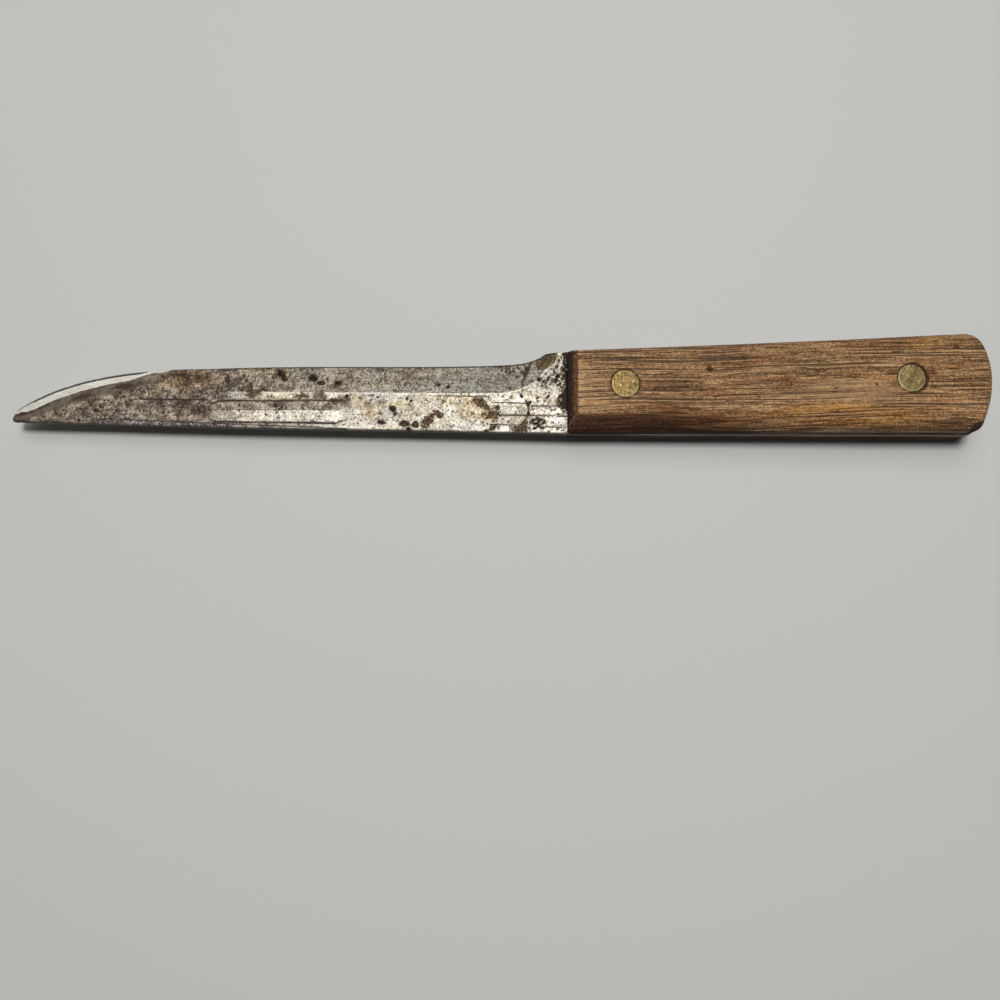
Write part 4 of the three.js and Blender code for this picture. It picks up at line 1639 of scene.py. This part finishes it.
        # Where the painted shade along the edge widens on the belly and thins towards the point.
        belly = smooth(self.edge_shade_run, self.edge_shade_run + self.ramp, along)
        point = smooth(*self.point_fade, along)
        edge_shade_width = self.edge_shade_width * (1.0 + 1.2 * belly - 1.3 * point)
        step = self.slope_step
        steep = (self.line(Line.EDGE, x + step) - self.line(Line.EDGE, x - step)) / (2.0 * step)
        gap = (self.line(Line.EDGE, x) - y) / np.hypot(1.0, steep)
        plain = 0.6 * smooth(self.edge_shade_run - self.ramp / 2.0, self.edge_shade_run - self.ramp, along)
        thin = 0.7 * smooth(0.7, 0.35, gap) * point * smooth(*self.point_end, along)
        return {
            # painted shade along the cutting edge
            "lip": smooth(edge_shade_width, 0.1, gap) * np.maximum(belly, plain) * smooth(3.0, 9.0, along),
            "facet": np.maximum(facet * (0.25 + 0.75 * wide), thin),
            "calm": smooth(*self.calm_gap, self.line(Line.FACET, x) - y) * smooth(*self.calm_run, along),
        }

    def dress(self, blade: Piece) -> None:
        """Paints the marks of wear on the blade for its finish and hands it over.

        Args:
            blade: The blade.
        """
        x, y, z = corners(blade).T
        along, up = self.front - x, y - self.back
        bevel = np.clip(0.5 + (y - self.line(Line.BEVEL, x)) / (2.0 * self.line_reach), 0.0, 1.0)
        inside = y - self.line(Line.BACK, x)
        marks = self.side_marks(along, up, bevel, z >= self.middle) | self.edge_marks(x, y)
        marks["bevel"] = bevel
        marks["tarnish"] = np.maximum(marks["tarnish"], 0.6 * smooth(0.3, 0.0, inside))
        violet = smooth(*self.violet_run, along) * smooth(*self.violet_end, along)
        marks["violet"] = smooth(2.8, 0.8, inside) * violet
        # The spine's face: dark patina with painted shade, as it turns away from the lamps.
        below = self.line(Line.BACK, x, 1) - self.middle - np.abs(z - self.middle)
        marks["rim"] = smooth(0.3, 0.1, inside) * smooth(0.1, self.rim_drop, below)
        # A strip of dirt at the handle's front, and painted shade in the corner right next to it.
        corner = 0.87 * smooth(2.2, 0.2, along) * smooth(4.0, 7.0, up)
        marks["grime_and_shade"] = np.maximum(self.grime_and_shade_strip.shade(along, up), corner)
        marks["worn"] = strongest(self.bright, along, up)
        above = up - np.interp(along, self.heel_run, self.heel_line)
        heel = np.clip(0.5 + above / self.heel_fade, 0.0, 1.0)
        marks["olive"] = heel * smooth(*self.heel_start, along) * smooth(*self.heel_end, along)
        for name, values in marks.items():
            paint(blade, name, values)
        hand_over(blade, self.finish.material(), "blade")

    def build_tang(self) -> Piece:
        """Cuts the tang off a copy of the CAD blade, just behind the front of the handle.

        Returns:
            The tang.
        """
        tang = merged_copy("blade", "tang_steel")
        edit_all(tang)
        cut = (self.front + self.tuck + self.tang_gap) * MM
        bpy.ops.mesh.bisect(plane_co=(cut, 0.0, 0.0), plane_no=(1.0, 0.0, 0.0), use_fill=True,
                            clear_inner=True)
        leave_edit()
        edit_all(tang)
        bpy.ops.mesh.dissolve_limited(angle_limit=math.radians(self.flat_angle))
        bpy.ops.mesh.normals_make_consistent(inside=False)
        leave_edit()
        soften(tang, self.tang_angle)
        return tang

    def make(self) -> None:
        """Builds and dresses the blade and the tang."""
        self.dress(self.build())
        hand_over(self.build_tang(), self.tang_finish.material())


@dataclass(frozen=True)
class RivetPlace:
    """Where a rivet goes through the handle, from the handle's front and up from its back, in millimetres."""

    name: str
    along: float
    up: float
    finish: DullBrass


@dataclass
class Handle:
    """The two wooden scales, shaped from the CAD solids and worn."""

    rivets: tuple[RivetPlace, ...]
    finish: bpy.types.Material
    voxel: float = 0.4
    head_radius: float = 3.8
    head_depth: float = 1.9
    tube_radius: float = 2.4
    fit: float = 0.1
    band: float = 2.8
    seed: int = 51
    soft_angle: float = 38.0
    sink: float = 0.03
    wave_depth: float = 0.1
    wave: tuple[float, float] = (16.0, 7.0)
    grain_depth: float = 0.07
    grain: tuple[float, float] = (14.0, 0.9)
    grain_lean: float = 0.02
    dent_stretch: float = 1.8
    seam_margin: float = 0.15
    plug_margin: float = 1.0
    hole_past_top: float = 1.0
    hole_past_seam: float = 0.6
    far_shift: float = 7.0
    line_fade: float = 1.4
    dents: tuple[tuple[float, float, float, float], ...] = (
        (41.0, 21.0, 1.6, 0.12), (67.0, 9.0, 1.1, 0.14), (78.0, 22.5, 1.9, 0.1), (100.0, 7.0, 1.3, 0.14),
        (28.0, 6.5, 1.2, 0.1), (55.0, 17.0, 0.9, 0.1), (6.0, 17.0, 1.0, 0.1),
    )
    stains: tuple[Cloud, ...] = (
        Cloud(29.0, 5.8, 9.0, 2.2, 0.6, 1.6), Cloud(87.9, 12.1, 2.0, 0.9, 0.5, 1.6),
        Cloud(91.7, 18.7, 3.0, 0.6, 0.48, 1.6), Cloud(86.9, 15.9, 2.4, 1.3, 0.52, 1.6),
        Cloud(97.6, 16.0, 2.2, 1.1, 0.6, 1.6), Cloud(98.4, 12.0, 2.6, 0.5, 0.6, 1.4),
        Cloud(37.9, 16.5, 1.2, 1.0, 0.85, 1.2, 0.5), Cloud(57.0, 13.8, 5.0, 0.9, 0.5, 1.6),
        Cloud(82.7, 12.8, 0.9, 1.0, 0.7, 0.9, 0.3), Cloud(104.6, 23.4, 1.6, 1.0, 0.7, 1.2, 0.3),
    )
    veins: tuple[Cloud, ...] = (
        Cloud(24.5, 11.4, 6.0, 2.6, inner=0.5), Cloud(19.0, 18.2, 9.0, 2.2, inner=0.5),
        Cloud(44.0, 18.4, 9.0, 2.2, inner=0.5),
    )
    golds: tuple[Cloud, ...] = (Cloud(76.0, 4.6, 26.0, 3.6, inner=0.3), Cloud(96.0, 24.0, 16.0, 3.0, 0.6))
    pale: Cloud = Cloud(76.0, 11.0, 15.0, 3.6)
    burn: Cloud = Cloud(111.0, 1.2, 2.2, 1.1, 1.0, 2.6, 0.8)
    pale_lines: tuple[tuple[float, float, float], ...] = (
        (92.2, 94.6, 4.4), (98.9, 101.0, 3.4), (102.1, 104.2, 5.6), (81.0, 84.0, 3.2), (88.0, 91.0, 7.6),
        (64.0, 67.5, 6.2), (26.0, 31.0, 7.4),
    )
    clouds: tuple[Cloud, ...] = (
        Cloud(5.5, 10.5, 5.5, 6.5, 0.085), Cloud(3.2, 12.5, 1.1, 9.0, 0.085),
        Cloud(30.5, 13.2, 9.0, 2.6, -0.09), Cloud(51.0, 8.0, 10.0, 2.8, 0.06),
        Cloud(74.0, 8.0, 11.0, 2.8, 0.06), Cloud(104.5, 8.0, 6.0, 2.8, 0.085),
        Cloud(104.5, 2.4, 6.5, 2.2, -0.11), Cloud(104.5, 13.3, 6.0, 2.6, -0.04),
        Cloud(51.0, 2.8, 10.0, 2.0, -0.035), Cloud(74.0, 2.8, 11.0, 2.0, -0.03),
    )

    def __post_init__(self) -> None:
        """Takes the datum planes from the frame."""
        low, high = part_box("upper_scale")
        lower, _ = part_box("lower_scale")
        self.front, self.back = low.x / MM, low.y / MM
        self.top, self.seam = high.z / MM, low.z / MM
        self.middle = (high.z + lower.z) / 2 / MM

    def cylinder(self, radius: float, low: float, high: float, place: RivetPlace, side: Side) -> Piece:
        """Adds a round bar along a rivet's axis.

        Args:
            radius: Its radius.
            low: Its inner end above the middle of the handle.
            high: Its outer end.
            place: The rivet.
            side: The scale that it goes through.

        Returns:
            The bar.
        """
        centre = self.middle + side.value * (low + high) / 2
        spot = Vector(((self.front + place.along) * MM, (self.back + place.up) * MM, centre * MM))
        return round_bar(radius * MM, (high - low) * MM, spot)

    def cutter(self, place: RivetPlace, side: Side) -> Piece:
        """Models the stepped hole of a rivet as a solid.

        Args:
            place: The rivet.
            side: The scale that it goes through.

        Returns:
            The solid.
        """
        top = self.top - self.middle
        step = top - self.head_depth - self.fit
        bar = self.cylinder(self.head_radius + self.fit, step, top + self.hole_past_top, place, side)
        inner = self.middle + side.value * step
        pick_faces(bar, lambda centre, normal: abs(centre.z / MM - inner) < self.fit / 2.0
                   and abs(normal.z) > ALONG_AXIS)
        bpy.ops.mesh.inset(thickness=(self.head_radius - self.tube_radius) * MM)
        reach = (top - self.head_depth - (self.seam - self.middle) + self.hole_past_seam) * MM
        bpy.ops.mesh.extrude_region_move(TRANSFORM_OT_translate={"value": (0.0, 0.0, -side.value * reach)})
        leave_edit()
        return bar

    def wear_off(self, scale: Piece, side: Side) -> None:
        """Sinks the wood a little below the rivets, with soft waves, raised grain and a few dents.

        Args:
            scale: The scale.
            side: Which one it is.
        """
        places = corners(scale)
        normals = np.empty(len(places) * 3)
        scale.data.vertices.foreach_get("normal", normals)
        normals = normals.reshape(-1, 3)
        lumps = Lumps(self.seed + side.value)
        x, y, z = places.T
        along, up = x - self.front, y - self.back
        length, height = self.wave
        depth = self.sink + self.wave_depth * lumps.at(along / length, up / height, z / height)
        length, height = self.grain
        level = (up - self.grain_lean * along) / height
        depth += self.grain_depth * lumps.at(along / length, level, z / height)
        shift = 0.0 if side is Side.UPPER else self.far_shift
        for dent_along, dent_up, size, deep in self.dents:
            near = np.hypot((along - dent_along - shift) / self.dent_stretch, up - dent_up) / size
            depth += deep * smooth(1.0, 0.2, near)
        depth *= 0.4 + 0.6 * smooth(0.2, 0.7, np.abs(normals[:, 2]))
        inner = np.abs(z - self.middle) < abs(self.seam - self.middle) + self.seam_margin
        depth[inner] = 0.0
        move_corners(scale, places - normals * depth[:, None])

    def build(self, side: Side) -> Piece:
        """Models one scale.

        Args:
            side: Which one.

        Returns:
            The scale.
        """
        node = f"{side.name.lower()}_scale"
        body = merged_copy(node, f"{node}_wood")
        top, seam = self.top - self.middle, self.seam - self.middle
        plug = self.head_radius + self.plug_margin
        plugs = [self.cylinder(plug, seam, top, place, side) for place in self.rivets]
        scale = join([body, *plugs], f"{node}_wood")
        modify(scale, "REMESH", mode="VOXEL", voxel_size=self.voxel * MM, adaptivity=0.0)
        modify(scale, "SMOOTH", factor=0.5, iterations=2)
        self.wear_off(scale, side)
        holes = join([self.cutter(place, side) for place in self.rivets], "rivet_holes")
        modify(scale, "BOOLEAN", operation="DIFFERENCE", object=holes, solver="EXACT")
        bpy.data.objects.remove(holes, do_unlink=True)
        soften(scale, self.soft_angle)
        return scale

    def stain(self, along: np.ndarray, up: np.ndarray, high: np.ndarray, side: Side) -> np.ndarray:
        """How dark the wood is painted: stained along its back, round the rivets and in spots, with painted
        shade on its back face, on the sides next to the tang and over the lower scale's back.

        Args:
            along: Places along the handle.
            up: Places up from its back.
            high: How far the places are from the middle of the tang.
            side: Which scale it is.

        Returns:
            The darkening, 1 where it is full.
        """
        line = 4.6 - 2.6 * smooth(36.0, 58.0, along)
        rearward = smooth(36.0, 66.0, along)
        layers = [
            strongest(self.stains, along, up),
            0.9 * smooth(line + 1.8, line - 2.4, up) * smooth(82.0, 16.0, along),
            0.47 * smooth(4.4, 1.4, up) * smooth(40.0, 56.0, along),
            # Painted shade: the back face and the sides next to the tang, which turn away from the lamps.
            (0.7 - 0.25 * rearward) * smooth(1.6 - 1.1 * rearward, 0.0, up),
            (1.0 - 0.5 * rearward) * smooth(6.0, 4.0, high) * smooth(3.0, 1.0, up),
            0.7 * smooth(5.4, 3.4, high),
        ]
        # Painted shade over the lower scale's back, which lies in the knife's own shadow.
        if side is Side.LOWER:
            layers.append(1.3 * smooth(3.0, 1.0, up))
        for place in self.rivets:
            away = np.hypot(along - place.along, up - place.up)
            shade = 0.6 + 0.35 * (place.name == "rear") * smooth(-2.0, 3.0, along - place.along)
            layers.append(shade * smooth(self.head_radius + 1.8, self.head_radius, away))
        return np.maximum.reduce(layers)

    def dress(self, scale: Piece, side: Side) -> None:
        """Paints stains with painted shade on the back and next to the tang, soot, and the golden stretch on
        a scale and hands it over.

        Args:
            scale: The scale.
            side: Which one it is.
        """
        x, y, z = corners(scale).T
        along, up = x - self.front, y - self.back
        band = self.band * smooth(0.0, 4.6, up)
        # Soot on the front end grain, blackest at its foot where the scale meets the blade, where the black
        # also stands for painted shade.
        soot = np.clip(1.0 - 0.65 * along / np.maximum(band, 0.2), 0.0, 1.0)
        worn = np.zeros_like(along)
        for start, end, level in self.pale_lines:
            ends = smooth(start - self.line_fade, start, along) * smooth(end + self.line_fade, end, along)
            worn = np.maximum(worn, smooth(0.3, 0.1, np.abs(up - level)) * ends)
        painted = {
            "stain": self.stain(along, up, np.abs(z - self.middle), side),
            "soot": soot * smooth(band + 0.3, band - 0.2, along),
            "gold": strongest(self.golds, along, up),
            "pale": self.pale.shade(along, up),
            "char": self.burn.shade(along, up) * (side is Side.UPPER),
            "worn": worn,
            "veined": strongest(self.veins, along, up),
            "lift": sum(cloud.shade(along, up) for cloud in self.clouds),
        }
        for name, values in painted.items():
            paint(scale, name, values)
        hand_over(scale, self.finish, f"{side.name.lower()}_scale")

    def make(self) -> None:
        """Builds and dresses both scales."""
        for side in Side:
            self.dress(self.build(side), side)


@dataclass
class Rivet:
    """One two-part rivet: a head with a pin, pressed into a head with a tube."""

    place: RivetPlace
    head_depth: float = 1.9
    tube_radius: float = 2.4
    pin_radius: float = 1.6
    fit: float = 0.1
    rim_round: float = 0.24
    crown: float = 0.1
    rings: int = 6
    ring_share: float = 0.94
    rim_segments: int = 4
    rim_reach: float = 0.004
    soft_angle: float = 35.0

    def half(self, node: str) -> Piece:
        """Models one half on the place of its CAD node.

        Args:
            node: The CAD node's name.

        Returns:
            The half.
        """
        low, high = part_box(node)
        pinned = node.endswith("_male")
        out = 1.0 if pinned else -1.0
        outer = high.z if pinned else low.z
        inner = low.z if pinned else high.z
        radius = (high.x - low.x) / 2
        middle = Vector(((low.x + high.x) / 2, (low.y + high.y) / 2, outer - out * self.head_depth * MM / 2))
        rivet = round_bar(radius, self.head_depth * MM, middle)
        rivet.name = rivet.data.name = f"{node}_brass"
        crown = self.crown * MM
        pick_faces(rivet, lambda centre, normal: normal.z * out > ALONG_AXIS)
        bpy.ops.transform.translate(value=(0.0, 0.0, -out * crown))
        for ring in range(self.rings):
            share = (1.0 - ring / self.rings) ** 2 - (1.0 - (ring + 1) / self.rings) ** 2
            bpy.ops.mesh.inset(thickness=self.ring_share * radius / (self.rings + 1), depth=crown * share)
        under = outer - out * self.head_depth * MM
        pick_faces(rivet, lambda centre, normal: normal.z * out < -ALONG_AXIS)
        shank = (self.pin_radius if pinned else self.tube_radius) * MM
        bpy.ops.mesh.inset(thickness=radius - shank)
        bpy.ops.mesh.extrude_region_move(TRANSFORM_OT_translate={"value": (0.0, 0.0, inner - under)})
        if not pinned:
            bpy.ops.mesh.inset(thickness=shank - (self.pin_radius + self.fit) * MM)
            bpy.ops.mesh.extrude_region_move(TRANSFORM_OT_translate={"value": (0.0, 0.0, under - inner)})
        rim = outer - out * crown
        pick_edges(rivet, lambda end: abs(end.z - rim) < self.rim_reach * MM)
        bpy.ops.mesh.bevel(offset=self.rim_round * MM, segments=self.rim_segments, affect="EDGES",
                           profile=0.5)
        leave_edit()
        soften(rivet, self.soft_angle)
        return rivet

    def dress(self, rivet: Piece, node: str, finish: bpy.types.Material) -> None:
        """Paints dirt and shade in the gap round the rim and a painted highlight on the rim's lower arc, and
        hands the half over.

        Args:
            rivet: The half.
            node: The CAD node that it stands for.
            finish: Its material.
        """
        places = corners(rivet)
        centre = (places.min(axis=0) + places.max(axis=0)) / 2
        away = np.hypot(places[:, 0] - centre[0], places[:, 1] - centre[1])
        paint(rivet, "grime_and_shade", smooth(away.max() - 0.1, away.max(), away))
        # Painted highlight on the rim, strongest on its lower arc; the outermost ring is dirt and shade in
        # the gap.
        lower = smooth(0.4, -0.7, (places[:, 1] - centre[1]) / away.max())
        paint(rivet, "rim", smooth(away.max() - 0.55, away.max() - 0.25, away) * (0.25 + 0.75 * lower))
        hand_over(rivet, finish, node)

    def make(self) -> None:
        """Builds and dresses both halves."""
        finish = self.place.finish.material()
        for half in ("male", "female"):
            node = f"{self.place.name}_rivet_{half}"
            self.dress(self.half(node), node, finish)


@dataclass(frozen=True)
class Lamp:
    """A soft square lamp above the table, aimed at the knife; its place and side are in metres."""

    name: str
    place: tuple[float, float, float]
    side: float
    power: float
    mirrored: bool

    def hang(self) -> None:
        """Adds the lamp, aimed at the knife."""
        bpy.ops.object.select_all(action="DESELECT")
        bpy.ops.object.light_add(type="AREA", location=self.place)
        lamp = bpy.context.active_object
        lamp.name = self.name
        lamp.rotation_euler = (-Vector(self.place)).to_track_quat("-Z", "Y").to_euler()
        lamp.data.shape = "SQUARE"
        lamp.data.size = self.side
        lamp.data.energy = self.power
        lamp.visible_glossy = self.mirrored


@dataclass
class Studio:
    """The table, the light and the camera."""

    camera_from_handle: tuple[float, float, float] = (-0.017817, -0.060183, 0.276)
    camera_tilt: float = 8.9
    camera_turn: float = 0.4353
    lens: float = 36.0
    sensor: float = 36.0
    clip: float = 0.01
    floor_side: float = 4.0
    backdrop: float = 0.8
    mirrored: float = 0.6
    fill: float = 0.055
    lamps: tuple[Lamp, ...] = (
        Lamp("overhead_lamp", (0.02, 0.08, 1.0), 0.18, 6.35, False),
        Lamp("window_lamp", (0.0, 0.3, 0.95), 0.55, 3.3, True),
    )

    def lay_floor(self) -> None:
        """Lays the table top under the knife."""
        bpy.ops.object.select_all(action="DESELECT")
        bpy.ops.mesh.primitive_plane_add(size=self.floor_side)
        floor = bpy.context.active_object
        floor.name = "table_top"
        floor.data.materials.append(PaleFloor().material())

    def light(self) -> None:
        """Hangs the lamps and gives the surroundings a plain pale tone."""
        for lamp in self.lamps:
            lamp.hang()
        world = bpy.data.worlds.new("pale_room")
        bpy.context.scene.world = world
        world.use_nodes = True
        nodes, links = world.node_tree.nodes, world.node_tree.links
        nodes.clear()
        output = nodes.new("ShaderNodeOutputWorld")
        room = nodes.new("ShaderNodeBackground")
        path = nodes.new("ShaderNodeLightPath")
        seen = nodes.new("ShaderNodeMix")
        seen.inputs[2].default_value = self.fill
        seen.inputs[3].default_value = self.backdrop
        glossy = nodes.new("ShaderNodeMix")
        glossy.inputs[3].default_value = self.mirrored
        either = nodes.new("ShaderNodeMath")
        either.operation = "MAXIMUM"
        links.new(path.outputs["Is Glossy Ray"], either.inputs[0])
        links.new(path.outputs["Is Transmission Ray"], either.inputs[1])
        links.new(path.outputs["Is Camera Ray"], seen.inputs[0])
        links.new(either.outputs[0], glossy.inputs[0])
        links.new(seen.outputs[0], glossy.inputs[2])
        links.new(glossy.outputs[0], room.inputs["Strength"])
        links.new(room.outputs[0], output.inputs["Surface"])

    def set_camera(self) -> None:
        """Puts the camera where the photograph was taken from."""
        bpy.ops.object.select_all(action="DESELECT")
        turn = (math.radians(self.camera_tilt), 0.0, math.radians(self.camera_turn))
        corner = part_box("upper_scale")[0]
        shift_x, shift_y, height = self.camera_from_handle
        spot = (corner.x + shift_x, corner.y + shift_y, height)
        bpy.ops.object.camera_add(location=spot, rotation=turn)
        camera = bpy.context.active_object
        camera.data.lens = self.lens
        camera.data.sensor_width = self.sensor
        camera.data.clip_start = self.clip
        bpy.context.scene.camera = camera

    def make(self) -> None:
        """Sets up the table, the light and the camera."""
        self.lay_floor()
        self.light()
        self.set_camera()
        bpy.context.scene.view_settings.view_transform = "Standard"


def main() -> None:
    """Builds the knife and its surroundings in order; each piece's triangle count is logged as it is handed
    over.
    """
    logging.basicConfig(level=logging.INFO, format="%(message)s")
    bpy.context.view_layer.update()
    front = Tones(tone(40, 31, 17), tone(90, 72, 42), tone(132, 110, 67), tone(157, 135, 87),
                  tone(206, 184, 132))
    rear = Tones(tone(66, 55, 35), tone(106, 90, 58), tone(134, 116, 76), tone(160, 141, 96),
                 tone(210, 191, 144))
    places = (
        RivetPlace("front", 15.3, 12.5, DullBrass("front_brass", 88.0, front)),
        RivetPlace("rear", 92.2, 14.6, DullBrass("rear_brass", 52.0, rear)),
    )
    Studio().make()
    Blade().make()
    Handle(places, OiledWood().material()).make()
    for place in places:
        Rivet(place).make()


if __name__ == "__main__":
    main()
